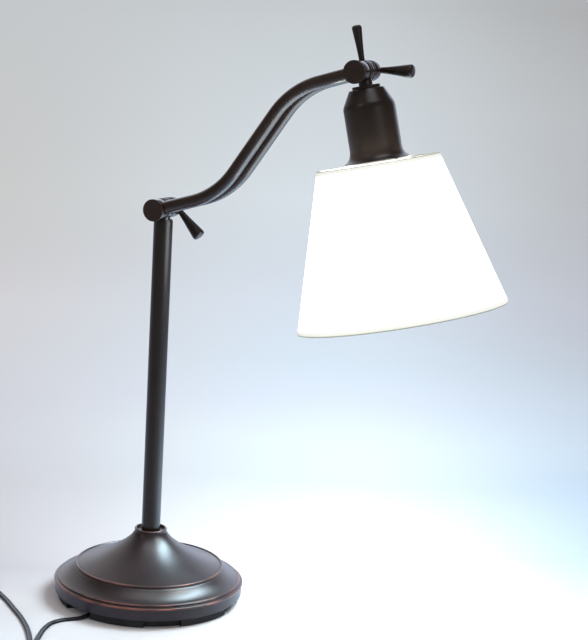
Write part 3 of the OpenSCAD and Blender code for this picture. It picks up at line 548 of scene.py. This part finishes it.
# %% Draw the base cover
band_foot, band_in, band_r, lip_bore = 8.7, 94.2, 95.8, 9.63
outside = np.vstack([
    eased([(band_in, band_foot), (band_r, band_foot), (96.05, 18.2)], 0.35, 0.25)[1:-1],
    bow((95.7, 20.3), 1.3, -60, 100, 14, 1.0),
    bow((93.75, 22.9), 0.5, 250, 200, 4),
    bow((92.7, 23.1), 1.1, -20, 120, 12, 0.85),
    flow((92.0, 24.25), (87, 25.3), (81, 29.6), (77.0, 34.2), 26),
    bow((76.9, 34.9), 0.6, 240, 180, 4),
    bow((74.6, 36.1), 1.4, -30, 135, 14, 0.8),
    bow((72.9, 37.0), 0.55, 290, 245, 4),
    flow((72.6, 36.85), (41.8, 47.7), (20.0, 61.5), (16.15, 72.2), 40),
    bow((15.4, 73.8), 1.2, -30, 185, 14, 0.75),
    eased([(14.2, 73.4), (14.15, 72.4), (lip_bore, 72.4), (lip_bore, 71.0)], 0.2, 0.0)[1:-1],
])
inside = np.vstack([
    [(lip_bore, 70.8, 0), (14.6, 69.6, 0)],
    flow((15.0, 70.8), (18.8, 60.4), (40.8, 46.4), (71.6, 35.4), 24),
    [(74.6, 34.0, 0)],
    flow((75.6, 33.2), (80.2, 28.2), (86.4, 23.9), (91.2, 22.8), 14),
    [(93.6, 21.4, 0), (94.3, 18.6, 0)],
])
print("cover outline of", len(outside), "points outside and", len(inside), "inside")

# %% Turn the base cover
cover_skin = turned(np.vstack([outside, inside]), sides=288, loop=True)
base_cover = piece("cover", "stand", bronze_base, [cover_skin], ["base_cover"], 50)

# %% [markdown]
# ## The post and the knuckles
#
# The post is plain tube. Each knuckle is a turned barrel lying across it, with two grooves
# and a short stem, and the lower stem has a stepped collar that closes the top of the
# post. Barrel and stem are two skins in one piece, as the casting is. A boolean union could
# weld them, but it would leave thin ragged faces where they meet.

# %% Where the joints are
lean = math.radians(13.7)
lower, upper = np.array([0, 0, 406.2]), np.array([206.8, 0, 558.2])
head_up = np.array([-math.sin(lean), 0, math.cos(lean)])
head_x = np.array([math.cos(lean), 0, math.sin(lean)])
X, Y, Z = (1, 0, 0), (0, 1, 0), (0, 0, 1)
in_head = seat(upper, head_x, head_up)

# %% Turn the post
post_r, post_bore, post_foot, post_top = 9.525, 8.05, 45, 394
tube = eased([(post_r, post_foot), (post_r, post_top), (post_bore, post_top), (post_bore, post_foot)],
             0.3, 0.5, loop=True)
piece("post_tube", "stand", bronze_satin, [turned(tube, sides=96, loop=True)], ["post"])

# %% Turn the knuckles
joint_r, bolt_bore, stem_r, stem_from = 10.4, 3.15, 6.6, -4


def barrel(half_long, grooves=()):
    """A short bored barrel from -half_long to half_long: r = joint_r - 1.1 |t|^3 across each
    bead, with t from -1 to 1, and a groove where two beads meet."""
    ends = np.array([-half_long, *grooves, half_long])
    t = np.linspace(-1, 1, 15)
    h = (ends[:-1, None] + ends[1:, None]) / 2 + np.diff(ends)[:, None] / 2 * t
    r = np.broadcast_to(joint_r - 1.1 * np.abs(t) ** 3, h.shape)
    beads = np.stack([r, h, np.zeros(h.shape)], -1).reshape(-1, 3)
    return np.vstack([[(bolt_bore, -half_long, 0)], beads, [(bolt_bore, half_long, 0)]])


def stem(*steps):
    """The corners of a stem that hangs from the middle of a knuckle: its top, then each step
    as (radius, height), then the axis at its foot."""
    return [(0, stem_from), (stem_r, stem_from), *steps, (0, steps[-1][1])]


knuckle = barrel(5.98, (-3, 3))
collar_r, collar_top, collar_low, spigot_r, spigot_low = 9.02, -11.0, -12.2, 8.0, -36.2
lower_stem = eased(stem((stem_r, collar_top), (collar_r, collar_top), (collar_r, collar_low),
                        (spigot_r, collar_low), (spigot_r, spigot_low)), 0.3, 0.35)
upper_stem = eased(stem((stem_r, -13.6), (5.0, -13.6), (5.0, -24.6)), 0.3, 0.3)
low_skins = [turned(knuckle, seat(lower, X, Y), loop=True), turned(lower_stem, seat(lower, X, Z))]
high_skins = [turned(knuckle, seat(upper, head_x, Y), loop=True), turned(upper_stem, in_head)]
piece("knuckle_low", "stand", bronze, low_skins, ["lower_knuckle"])
piece("knuckle_high", "head", bronze, high_skins, ["upper_knuckle"])

# %% [markdown]
# ## The two S-curved rods and their hubs
#
# Each rod leaves the lower joint at 18 degrees, bends up to 56 degrees, and bends back.
# Its slope along its length is all that is needed: adding up small steps in that direction
# gives the centre line, and a circle carried along it gives the tube. The straight runs
# are as long as it takes to reach the upper joint. A curve object with handles could
# follow the same line, but a bent tube has true arcs between straight runs, and slopes
# give just that.

# %% Work out the rods' centre line
reach_half, rise_half = (upper - lower)[[0, 2]] / 2
flat_slope, steep_slope, bend_r = math.radians(18), math.radians(56), 85.0
left_x = reach_half - bend_r * (math.sin(steep_slope) - math.sin(flat_slope))
left_z = rise_half - bend_r * (math.cos(flat_slope) - math.cos(steep_slope))
turn_sine = math.sin(steep_slope - flat_slope)
end_len = (left_x * math.sin(steep_slope) - left_z * math.cos(steep_slope)) / turn_sine
mid_len = 2 * (left_z * math.cos(flat_slope) - left_x * math.sin(flat_slope)) / turn_sine
bend_len = bend_r * (steep_slope - flat_slope)
marks = np.cumsum([0, end_len, bend_len, mid_len, bend_len, end_len])
along = np.linspace(0, marks[-1], 1201)
slope = np.interp(along, marks, [flat_slope, flat_slope, steep_slope, steep_slope, flat_slope, flat_slope])
middle = (slope[1:] + slope[:-1]) / 2
steps = np.stack([np.cos(middle), np.sin(middle)], 1) * np.diff(along)[:, None]
line = np.concatenate([[[0, 0]], np.cumsum(steps, 0)])
print("rod ends at", line[-1].round(2), "for a reach of", 2 * reach_half, "by", 2 * rise_half)

# %% Bend the rods
rod_r, rod_y, rod_gap = 6.35, 13.5, 8
keep = np.flatnonzero((along > rod_gap) & (along < marks[-1] - rod_gap))[::6]
for name, y in (("near", -rod_y), ("far", rod_y)):
    path = np.stack([line[keep, 0], np.full(len(keep), y), line[keep, 1] + lower[2]], 1) * MM
    side = np.tile([0.0, 1.0, 0.0], (len(keep), 1))
    lift = np.stack([-np.sin(slope[keep]), np.zeros(len(keep)), np.cos(slope[keep])], 1)
    rod_skin = carried(path, side, lift, circle_of(rod_r * MM))
    piece(f"rod_{name}", "arm", bronze, [rod_skin], [f"{name}_rod"])

# %% [markdown]
# The hubs at the rods' ends are barrels like the knuckle's. A thin friction washer sits on
# each side of the knuckle, and the bolt through them all ends in a flat disc. Solid barrels
# would look the same, but bored ones let the bolt pass without cutting into them.

# %% Turn the hubs, washers and bolts
washer_y, washer_r, washer_half = 6.4, 9.4, 0.38
head_r, head_far, head_near, shank_r, bolt_end = 11.0, -22.8, -20.2, 3.0, 26.4
hub = barrel(6.7)
washer = eased([(bolt_bore, -washer_half), (washer_r, -washer_half), (washer_r, washer_half),
                (bolt_bore, washer_half)], 0.15, 0.3, loop=True)
bolt = eased([(0, head_far), (head_r, head_far), (head_r, head_near), (shank_r, head_near),
              (shank_r, bolt_end), (0, bolt_end)], 0.45, 0.5)
for short, word, at in (("low", "lower", lower), ("high", "upper", upper)):
    for name, y in (("near", -rod_y), ("far", rod_y)):
        hub_skin = turned(hub, seat(at + [0, y, 0], X, Y), loop=True)
        piece(f"hub_{short}_{name}", "arm", bronze, [hub_skin], [f"{word}_{name}_eye"])
    rings = [turned(washer, seat(at + [0, y, 0], X, Y), loop=True) for y in (-washer_y, washer_y)]
    piece(f"washers_{short}", "arm", bronze_flat, rings, [f"{word}_washers"])
    piece(f"bolt_{short}", "arm", bronze_flat, [turned(bolt, seat(at, X, Y))], [f"{word}_bolt"])

# %% [markdown]
# ## Levers and the aiming handle
#
# Each clamp lever is a small hub with a handle that swells towards a blunt, rounded tip.
# The aiming handle on the head has the same family shape. Each could be a scaled cone, but
# that would scale the soft end too, so one outline function serves all three: a thin root,
# a straight flare and a soft end.

# %% Draw a handle
def handle_outline(first, last, root, tip, soft=2.6):
    """A taper from root to tip, both radii, that starts at first and rounds off at last."""
    long = last - first
    return np.vstack([
        [(0, first, 0), (root, first, 0)],
        flow((root, first), (root + 0.12 * (tip - root), first + 0.35 * long),
             (tip * 0.86, first + 0.66 * long), (tip, last - soft * 1.3), 18),
        bow((tip - soft, last - soft), soft, 0, 76),
        [(0, last, 0)],
    ])


# %% Turn the levers and the handle
lever_y, handle_root = 24.1, 2.7
boss_r, boss_from, boss_to, socket_to = 5, 20.4, 27.8, 26.9
boss = np.vstack([
    eased([(bolt_bore, boss_from), (boss_r, boss_from), (boss_r, boss_to), (0, boss_to)], 0.7, 0.0),
    [(0, socket_to, 0), (bolt_bore, socket_to, 0)],
])
lever = handle_outline(3.9, 40.5, handle_root, 6.4)
for short, at, angle, body in (("low", lower, -44, "lower_lever"), ("high", upper, 3, "upper_lever")):
    out = (math.cos(math.radians(angle)), 0, math.sin(math.radians(angle)))
    skins = [turned(boss, seat(at, X, Y), loop=True), turned(lever, seat(at + [0, lever_y, 0], Y, out))]
    piece(f"lever_{short}", body, bronze_satin, skins, [body])
aim_skin = turned(handle_outline(9.0, 43, handle_root, 4.7), in_head)
piece("aim_handle", "head", bronze_satin, [aim_skin], ["aiming_handle"])

# %% [markdown]
# ## The lamp cup
#
# A spun cup hides the lampholder: a flat cap on top, a rounded shoulder, a straight side
# and a lip that flares out over the shade's fitter. It is thin all over. A Solidify
# modifier could give it its wall, but the inside has its own bends, so both sides are
# drawn. Heights run down the head's own axis, so they are negative here.

# %% Turn the cap and the cup
stem_hole, cap_r, cap_low, cap_high, cup_r, cup_bore = 5.05, 13.2, -16.6, -13.6, 24.6, 23.4
cap = eased([(stem_hole, cap_low), (cap_r, cap_low), (cap_r, cap_high), (stem_hole, cap_high)],
            0.55, 0.5, loop=True)
piece("cap", "head", bronze_flat, [turned(cap, in_head, loop=True)], ["cap_plate"])
cup_out = np.vstack([
    [(stem_hole, cap_low, 0), (15.0, cap_low, 0)],
    bow((15.4, -18.4), 1.8, 90, 30, 8, 0.3),
    bow((cup_r - 12, -35.0), 12.0, 30, 0, 14),
    [(cup_r, -45, 0), (cup_r, -60, 0)],
    flow((cup_r, -71.5), (24.9, -79.3), (27.6, -81.7), (31.1, -83.5)),
    bow((31.0, -84.1), 0.6, 80, -80, 8, 0.1),
])
cup_in = np.vstack([
    flow((30.6, -84.8), (27.0, -82.9), (23.5, -80.6), (cup_bore, -71.5), 12),
    [(cup_bore, -60, 0), (cup_bore, -33.4, 0)],
    [(22.6, -31.6, 0), (15.6, -19.4, 0), (14.4, -17.8, 0), (stem_hole, -17.8, 0)],
])
cup_skin = turned(np.vstack([cup_out, cup_in]), in_head, 160, True)
piece("cup", "head", bronze_satin, [cup_skin], ["lamp_cup"], 50)

# %% [markdown]
# ## The cloth shade
#
# The shade is a cone of woven cloth on a stiff lining. The bulb's light coming through it is
# painted on as a glow of the cloth itself, which shows almost white. It is one closed shell:
# the outside, a turned edge, the inside and the other edge.
# A lapped seam runs down the back: a bump with a flat top, exp(-x^6) for x half widths from
# its middle. The UV map is in metres, once round the middle of the cone and then down the
# outside and up the inside, so the weave has its real size. Cloth simulation could drape
# it, but this cloth is pulled tight between two hoops, so the cone is exact.

# %% Weave the cloth finish
def cloth_finish(slot, thread, colours, glow, glow_colour, fold_shade_colour):
    """Plain weave: warp and weft waves thread metres apart, as relief and as faint tone.
    glow is painted light, the bulb's light through the cloth given as the cloth's own glow.
    Where the wear attribute marks the folded edge, the glow is taken away and the colour goes
    darker, as painted shade."""
    finish, tree, shader = new_finish(slot, Roughness=0.9, Sheen_Weight=0.2, Sheen_Roughness=0.5)
    uv = join(tree, "UVMap").outputs["UV"]
    slubs = join(tree, "Mapping", {"Vector": uv, "Scale": (1, 0.06, 1)}).outputs["Vector"]
    slubs = join(tree, "TexNoise", {"Vector": slubs, "Scale": 1 / thread, "Detail": 2.0}).outputs["Fac"]
    spacing = {"Vector": uv, "Scale": 1 / thread / 20 * math.pi, "Distortion": 0.6, "Detail": 1.0}
    warp, weft = (join(tree, "TexWave", spacing, bands_direction=axis).outputs["Fac"] for axis in "XY")
    height = math_of(tree, "ADD", math_of(tree, "ADD", warp, weft), slubs)
    tone = ramp(tree, level_of(tree, height, 0.4, 2.4, 0, 1), (0.0, colours[0]), (1.0, colours[1]))
    # The folded edge of a tape is painted shade: a darker colour there, and no glow.
    fold_shade = join(tree, "Attribute", attribute_name="wear").outputs["Fac"]
    tree.links.new(blended(tree, fold_shade, tone, (*fold_shade_colour, 1)), shader.inputs["Base Color"])
    # Painted light: the glow stands in for the bulb's light shining through the cloth.
    tree.links.new(level_of(tree, fold_shade, 0, 1, glow, 0), shader.inputs["Emission Strength"])
    shader.inputs["Emission Color"].default_value = (*glow_colour, 1)
    relief(tree, shader, height, 0.2, 0.0002)
    return finish


# Both glows are painted light, the bulb's light coming through the cloth and the tape; the cloth's glow is
# a cool white.
shade_cloth = cloth_finish("shade_cloth", 0.0006, ((0.78, 0.765, 0.72), (0.93, 0.92, 0.88)),
                           3.2, (0.84, 0.95, 1.0), (0.6, 0.6, 0.5))
shade_tape = cloth_finish("shade_tape", 0.0005, ((0.72, 0.71, 0.63), (0.86, 0.85, 0.76)),
                          0.34, (1.0, 0.99, 0.88), (0.40, 0.41, 0.34))
print("cloth finishes ready")

# %% Roll the cloth into a cone
top_s, bottom_s, top_r, bottom_r, cloth_t = 86.2, 234.0, 58.3, 100.6, 1.0
cone_rows_n, cone_sides = 90, 240
seam_deg, seam_half_deg, seam_t = 112, 3.6, 0.35
weave_girth, weave_slants = 2 * np.pi * 0.08, 0.3075


def cone_rows(share, off):
    """Radius and height on the cone at that share of the way down, moved out by off."""
    radius = top_r + (bottom_r - top_r) * share + off
    return np.stack([radius, -(top_s + (bottom_s - top_s) * share)], 1)


down = np.linspace(0, 1, cone_rows_n)
profile = np.vstack([cone_rows(down, 0), cone_rows(down[::-1], -cloth_t)])
on_outside = np.repeat([1, 0], cone_rows_n)
angle = np.linspace(0, 2 * np.pi, cone_sides, endpoint=False)[:, None]
seam = np.exp(-(((np.degrees(angle) - seam_deg) / seam_half_deg) ** 6)) * seam_t
radius = profile[None, :, 0] + seam * on_outside
drop = np.tile(profile[:, 1], (cone_sides, 1))
cloth = moved(np.stack([radius * np.cos(angle), radius * np.sin(angle), drop], -1) * MM, in_head)
cloth_skin = skin(cloth, (True, True), (weave_girth, weave_slants))
shade = piece("shade", "head", shade_cloth, [cloth_skin], ["shade_fabric"], 60)

# %% [markdown]
# A narrow tape is folded over each edge of the cloth, where the wire hoops stretch it. Less
# light comes through where it is folded, so that part is painted darker and without glow, as
# painted shade that draws the thin line along the rims. A darker band in the cloth's finish
# could stand for it, but a real tape stands up a little, so it is a ring of its own: two legs
# with an arc between them, turned once.

# %% Roll the tapes over both edges
def tape_rows(share, sign):
    """A tape folded over the cloth's edge: down the outside, round the edge, up the inside."""
    slant = math.hypot(bottom_s - top_s, bottom_r - top_r)
    edge = cone_rows(np.array([share]), -cloth_t / 2)[0]
    out = np.array([bottom_s - top_s, bottom_r - top_r]) / slant
    down_axis = np.array([(bottom_r - top_r) / slant, -(bottom_s - top_s) / slant])
    width, roll, swell, skin_in = 4.0, cloth_t / 2 + 0.28, 0.12, 0.2
    t = np.concatenate([np.linspace(1, 0, 8), np.zeros(9), np.linspace(0, 1, 8)])
    a = np.radians(np.concatenate([np.zeros(8), np.linspace(0, 180, 9), np.full(8, 180)]))
    rise = np.concatenate([np.linspace(0.0, swell, 8), np.full(9, swell), np.linspace(swell, 0.0, 8)])
    middle = edge + np.outer(t * width * -sign, down_axis)
    ring = np.outer(np.cos(a) * (roll + rise), out) + np.outer(np.sin(a) * roll * 0.6 * sign, down_axis)
    back = edge + np.outer(np.ones(2) * width * -sign, down_axis)
    back += np.outer([skin_in - roll, roll - skin_in], out)
    # Where the tape is folded over the edge its finish is painted darker and without glow, as shade; this
    # share goes in the wear column.
    fold_shade = np.concatenate([np.clip(1 - t * width, 0, 1), [0, 0]])
    return np.column_stack([np.vstack([middle + ring, back]), fold_shade])


for name, share, sign in (("top", 0.0, -1), ("bottom", 1.0, 1)):
    tape_skin = turned(tape_rows(share, sign), in_head, cone_sides, True)
    piece(f"tape_{name}", "head", shade_tape, [tape_skin], [f"shade_{name}_trim"], 60)
print("shade from", top_s, "to", bottom_s, "mm down the head")

# %% [markdown]
# ## The lamp
#
# A frosted glass lamp sits in the middle of the shade. A point light could stand in for it,
# but then the glass would stay dark. Here the glass gives off its own light, so the inside
# of the shade and the table under it are lit wherever the head is turned.

# %% Blow the glass
glass, tree, shader = new_finish("bulb_glass", Roughness=0.35, Emission_Strength=14.0,
                                 Specular_IOR_Level=0.5)
frost = ramp(tree, noise(tree, 40, 3), (0.3, (0.93, 0.90, 0.82)), (0.7, (0.99, 0.97, 0.92)))
tree.links.new(frost, shader.inputs["Base Color"])
shader.inputs["Emission Color"].default_value = (1.0, 0.93, 0.80, 1)
relief(tree, shader, noise(tree, 2500, 2), 0.1, 0.0001)
globe_r, globe_s, neck_r, neck_s = 30, -132, 13, -76.05
bulb_rows = np.vstack([
    [(0, neck_s, 0), (12.6, neck_s, 0), (neck_r, -76.6, 0)],
    flow((neck_r, -91.7), (neck_r, -104.2), (globe_r, -106), (globe_r, globe_s), 26),
    bow((0, globe_s), globe_r, -6, -90, 22),
])
piece("bulb", "head", glass, [turned(bulb_rows, in_head)], ["bulb_glass"])

# %% [markdown]
# ## The switch knob
#
# A small black knob on the far side of the cup turns the lamp on. Its rim is fluted. Twelve
# boolean cuts could do that, but a formula keeps the grid clean: the radius dips a little
# with each of twelve waves round the knob, but only on its side.

# %% Mould the knob
black_plastic = moulded_finish("black_plastic", (0.020, 0.019, 0.019), (0.036, 0.034, 0.034), 0.42)
knob_s, knob_r, knob_from, knob_to, shaft_r, shaft_from = 44.6, 6, 25.6, 34.6, 2, 9.0
knob_sides, flutes, flute_deep = 192, 12, 0.42
flute_r, flute_r_soft, flute_from, flute_from_soft = 4.2, 1.6, 26.4, 0.8
knob_rows = np.vstack([
    [(0, shaft_from, 0), (shaft_r, shaft_from, 0), (shaft_r, knob_from, 0)],
    eased([(shaft_r, knob_from), (knob_r, knob_from), (knob_r, knob_to), (0, knob_to)], 0.9, 0)[1:],
])
angle = np.linspace(0, 2 * np.pi, knob_sides, endpoint=False)[:, None]
flute = flute_deep * (0.5 - 0.5 * np.cos(flutes * angle)) ** 2
on_side = ease((knob_rows[:, 0] - flute_r) / flute_r_soft)
on_side = on_side * ease((knob_rows[:, 1] - flute_from) / flute_from_soft)
radius = knob_rows[None, :, 0] - flute * on_side
long = np.tile(knob_rows[:, 1], (knob_sides, 1))
knob_grid = np.stack([radius * np.cos(angle), radius * np.sin(angle), long], -1) * MM
knob_skin = skin(moved(knob_grid, seat(upper - head_up * knob_s, head_x, Y)))
piece("knob", "switch_knob", black_plastic, [knob_skin], ["switch_knob"])

# %% [markdown]
# ## Finishes for the other solids
#
# The parts that hide inside the base, the cup and the shade keep the solid model's shapes.
# They still show from below or when the head is tilted, so each gets the surface that its
# material has: sand-cast iron, plated steel, rolled brass, moulded rubber or coated wire.
# They could be made again as skins, but so little of them shows that the finish is enough.

# %% Metals, wire and rubber
def metal_finish(slot, dark, light, rough, metallic=1.0, stretch=(1, 1, 1), grain=400.0, bumps=0.2,
                 cloud_scale=45):
    """Bare or plated metal: two tones in clouds, and fine marks that change the roughness and
    stand up as relief."""
    finish, tree, shader = new_finish(slot, Metallic=metallic)
    scratches = noise(tree, grain, 4, stretch)
    clouds = noise(tree, cloud_scale)
    tree.links.new(ramp(tree, clouds, (0.3, dark), (0.7, light)), shader.inputs["Base Color"])
    uneven = level_of(tree, scratches, 0.3, 0.7, rough - 0.08, rough + 0.1)
    tree.links.new(uneven, shader.inputs["Roughness"])
    relief(tree, shader, scratches, bumps, 0.0003)
    return finish


others = [
    metal_finish("cast_iron", (0.045, 0.045, 0.048), (0.085, 0.085, 0.09), 0.68, 0.6, grain=260, bumps=0.9),
    metal_finish("dark_steel", (0.035, 0.035, 0.037), (0.06, 0.06, 0.062), 0.45, 0.8, (1, 12, 1)),
    metal_finish("zinc_steel", (0.42, 0.42, 0.42), (0.6, 0.6, 0.59), 0.32),
    metal_finish("brass", (0.55, 0.38, 0.14), (0.78, 0.58, 0.26), 0.25),
    metal_finish("bulb_metal", (0.55, 0.55, 0.54), (0.76, 0.76, 0.75), 0.28, stretch=(1, 1, 10)),
    metal_finish("white_wire", (0.70, 0.69, 0.65), (0.82, 0.81, 0.77), 0.3, 0.0, bumps=0.1),
    moulded_finish("foot_rubber", (0.012, 0.012, 0.013), (0.024, 0.024, 0.026), 0.62, 0.3),
    moulded_finish("lead_jacket", (0.016, 0.016, 0.017), (0.028, 0.028, 0.03), 0.45),
    moulded_finish("bulb_inner", (0.80, 0.66, 0.40), (0.92, 0.80, 0.55), 0.2),
    bronze, bronze_flat, shade_cloth, shade_tape, glass, black_plastic, jacket, plug_plastic,
]
print(len(others), "finishes for the solids")

# %% Give each solid its finish
finishes = {finish["slot"]: finish["material"] for finish in others}
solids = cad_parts
cad_slots = {name: solid.material_slots[0].material.name.split(".")[0] for name, solid in solids.items()}
for name, slot in cad_slots.items():
    if slot in finishes:
        solids[name].material_slots[0].material = finishes[slot]
print("solids without a finish:", [name for name, slot in cad_slots.items() if slot not in finishes])

# %% [markdown]
# ## The table
#
# The lamp stands on a plain pale table that reaches far back, so no horizon shows. Its
# colour carries painted light: it changes slowly with the depth behind the lamp and with the
# direction to the side, to paint the pool of light round the lamp and its fall-off, with
# painted shade on the left near the base. Many soft lamps could light the table so, but they
# would slow every render. Far out all tones meet in one grey. A grid whose steps grow with
# a hyperbolic sine has its fine squares near the lamp.

# %% Lay the table
cell = 0.2 * np.sinh(np.linspace(-6, 6, 61))
table_x, table_y = np.meshgrid(cell, cell, indexing="ij")
table_skin = skin(np.stack([table_x, table_y, 0 * table_x], -1), (False, False))
table = bpy.data.objects.new("table", table_skin)
bpy.context.scene.collection.objects.link(table)
table_painted_light, tree, shader = new_finish("table", Roughness=0.9, Specular_IOR_Level=0.1)
table.data.materials.append(table_painted_light["material"])
print("table", round(2 * cell[-1]), "m across")

# %% Depth and side on the table
# The painted pool of light is centred here; depth and side are measured from it.
painted_light_centre, fan_from, fan_least, fan_narrow = (0.124, 0.184, 0), 2.0, 0.6, 75.0
nearest, depth_shift, log_from, log_to = -0.25, 0.5, -0.6, 1.3
where = join(tree, "TexCoord").outputs["Object"]
local = vector_of(tree, "SUBTRACT", where, painted_light_centre)
depth = vector_of(tree, "DOT_PRODUCT", local, (-math.sin(yaw), math.cos(yaw), 0), "Value")
aside = vector_of(tree, "DOT_PRODUCT", local, (math.cos(yaw), math.sin(yaw), 0), "Value")
spread = math_of(tree, "MAXIMUM", math_of(tree, "ADD", depth, fan_from), fan_least)
fan = math_of(tree, "DIVIDE", aside, spread)
fan = math_of(tree, "MULTIPLY", fan, level_of(tree, depth, -1.6, -0.45, 0, 1))
behind = math_of(tree, "ADD", math_of(tree, "MAXIMUM", depth, nearest), depth_shift)
along_depth = level_of(tree, math_of(tree, "LOGARITHM", behind, 10.0), log_from, log_to, 0, 1)


def at_depth(*stops):
    """Colour stops given by depth in metres behind the lamp. Each place on the ramp is
    (log10(depth + depth_shift) - log_from) / (log_to - log_from)."""
    marks = []
    for metres, colour in stops:
        place = (math.log10(max(metres, nearest) + depth_shift) - log_from) / (log_to - log_from)
        marks.append((place, colour))
    return ramp(tree, along_depth, *marks)


# %% Paint the light and shade for the middle and both sides
# These tones are painted light: darker near the lamp, where the lamps light the table strongly, and paler
# far back, where they leave it dim, with painted shade on the left near the base.
middle_painted_light = at_depth(
    (-0.25, (0.64, 0.60, 0.595)), (0.03, (0.56, 0.51, 0.49)), (0.35, (0.444, 0.434, 0.435)),
    (0.55, (0.51, 0.503, 0.50)), (0.77, (0.53, 0.525, 0.563)), (1.05, (0.578, 0.603, 0.64)),
    (1.55, (0.70, 0.73, 0.785)), (3.0, (0.80, 0.856, 0.88)), (18, (0.66, 0.69, 0.69)))
left_painted_light = at_depth(
    (-0.25, (0.55, 0.52, 0.525)), (-0.14, (0.51, 0.46, 0.46)), (-0.05, (0.345, 0.295, 0.297)),
    (0.27, (0.376, 0.325, 0.323)), (0.67, (0.466, 0.417, 0.422)), (1.41, (0.64, 0.59, 0.58)),
    (2.7, (0.67, 0.65, 0.62)), (14, (0.65, 0.66, 0.65)))
right_painted_light = at_depth(
    (-0.25, (0.45, 0.44, 0.44)), (0.08, (0.225, 0.265, 0.35)), (0.42, (0.246, 0.268, 0.31)),
    (0.87, (0.396, 0.403, 0.437)), (1.73, (0.53, 0.52, 0.56)), (3.3, (0.52, 0.52, 0.53)),
    (5.8, (0.54, 0.54, 0.54)), (19.5, (0.45, 0.44, 0.43)))

# %% Join the tones
grey_from, grey_to, far_grey = 20, 38, (0.52, 0.53, 0.535, 1)
side_painted_light = blended(tree, level_of(tree, fan, -0.05, 0.05, 0, 1), left_painted_light, right_painted_light)
fan_squared = math_of(tree, "MULTIPLY", fan, fan)
bulge = math_of(tree, "POWER", math.e, math_of(tree, "MULTIPLY", fan_squared, -fan_narrow))
# The joined tones are the table's painted light and shade.
fade = blended(tree, bulge, side_painted_light, middle_painted_light)
from_lamp = join(tree, "VectorMath", {0: where}, operation="LENGTH").outputs["Value"]
fade = blended(tree, level_of(tree, from_lamp, grey_from, grey_to, 0, 1), fade, far_grey)
print("table painted")

# %% [markdown]
# The shiny paint of the lamp mirrors the table, and what it sees there is painted light: a
# bright painted pool under the shade, and painted shade towards the room in front. A ray that
# has left a shiny surface gets these painted reflections instead of the sweep. A second table,
# hidden from the camera, could carry them, but one finish with a switch in it is easier to
# keep in step.

# %% The table's painted reflections
pool_at, pool_full, pool_gone = (0.32, 0.2, 0), 0.1, 0.36
forward = join(tree, "SeparateXYZ", {"Vector": where}).outputs["Y"]
# Painted shade in reflections: the table goes dark in front, towards the room.
dim = level_of(tree, forward, -0.2, -0.7, 0.0, 0.75)
# A painted pool of light under the shade, seen only in reflections.
from_pool = vector_of(tree, "DISTANCE", where, pool_at, "Value")
pool = level_of(tree, from_pool, pool_full, pool_gone, 1, 0)
painted_reflection = blended(tree, pool, (0.33, 0.325, 0.385, 1), (0.80, 0.90, 0.98, 1))
painted_reflection = blended(tree, dim, painted_reflection, (0.05, 0.045, 0.04, 1))
from_shiny = join(tree, "LightPath").outputs["Is Glossy Ray"]
tree.links.new(blended(tree, from_shiny, fade, painted_reflection), shader.inputs["Base Color"])
print("mirrored tones ready")

# %% [markdown]
# ## The room and the lights
#
# The world does two jobs. It fills the scene with even pale light, and it is the room that
# the shiny paint reflects: dark in front, a soft glow overhead, and a pale wall behind.
# Each glow is a dot product of the ray's direction with the glow's own direction. A picture
# of a real room could do this, but five soft patches are enough for paint this soft.

# %% Light the room
world = bpy.data.worlds.new("room")
world.use_nodes = True
bpy.context.scene.world = world
tree = world.node_tree
way = join(tree, "TexCoord").outputs["Generated"]


def towards(azimuth, elevation):
    """The direction (cos a cos e, sin a cos e, sin e), from two angles in degrees."""
    a, e = math.radians(azimuth), math.radians(elevation)
    return np.array([math.cos(a) * math.cos(e), math.sin(a) * math.cos(e), math.sin(e)])


def glow(azimuth, elevation, inner, outer, colour):
    """A round patch of colour round a direction, full inside one angle and gone outside the other."""
    near = vector_of(tree, "DOT_PRODUCT", way, towards(azimuth, elevation), "Value")
    share = level_of(tree, near, math.cos(math.radians(outer)), math.cos(math.radians(inner)), 0, 1)
    return vector_of(tree, "MULTIPLY", share, colour)


room = (0.10, 0.075, 0.06)
for patch in ((-60, 80, 4, 24, (2.2, 2.2, 2.3)), (104, 6, 12, 42, (1.15, 1.3, 1.6)),
              (-120, 33, 2, 10, (2.2, 2.1, 2.0)), (150, 28, 8, 34, (0.7, 0.7, 0.72)),
              (-28, 10, 2, 20, (0.5, 0.52, 0.55))):
    room = vector_of(tree, "ADD", room, glow(*patch))
even_fill, seen_sky = (0.85, 0.87, 0.90, 1), (0.44, 0.46, 0.48, 1)
paths = join(tree, "LightPath")
fill = blended(tree, paths.outputs["Is Glossy Ray"], even_fill, room)
sky = blended(tree, paths.outputs["Is Camera Ray"], fill, seen_sky)
tree.links.new(sky, tree.nodes["Background"].inputs["Color"])
print("room lit")

# %% [markdown]
# One square softbox, high on the right and behind, gives the base its long bluish
# highlights and the shadow on the table. A sun lamp would draw hard, even edges, and a
# broad square draws soft ones. It is linked to the low parts and the table alone, so the
# rods keep only the room's light.

# %% Set up the key light
def softbox(name, azimuth, elevation, distance, size, watts, colour, aim=(0.05, 0.0, 0.1)):
    """A square lamp at a direction and a distance from the point it faces."""
    light = bpy.data.lights.new(name, "AREA")
    light.shape, light.size, light.energy, light.color = "SQUARE", size, watts, colour
    thing = bpy.data.objects.new(name, light)
    back = towards(azimuth, elevation)
    flat_x = np.cross([0, 0, 1.0], back)
    flat_x /= np.linalg.norm(flat_x)
    place = seat((np.array(aim) + distance * back) / MM, flat_x, back)
    thing.matrix_world = Matrix(place.tolist())
    bpy.context.scene.collection.objects.link(thing)
    return thing


key = softbox("key", azimuth=38, elevation=59, distance=1.1, size=0.58, watts=31, colour=(0.67, 0.88, 1.0))
lit = bpy.data.collections.new("lit by the key")
for thing in (table, base_cover, cord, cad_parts["foot_ring"]):
    lit.objects.link(thing)
key.light_linking.receiver_collection = lit
bpy.context.scene.view_settings.view_transform = "Standard"
print("softbox ready")
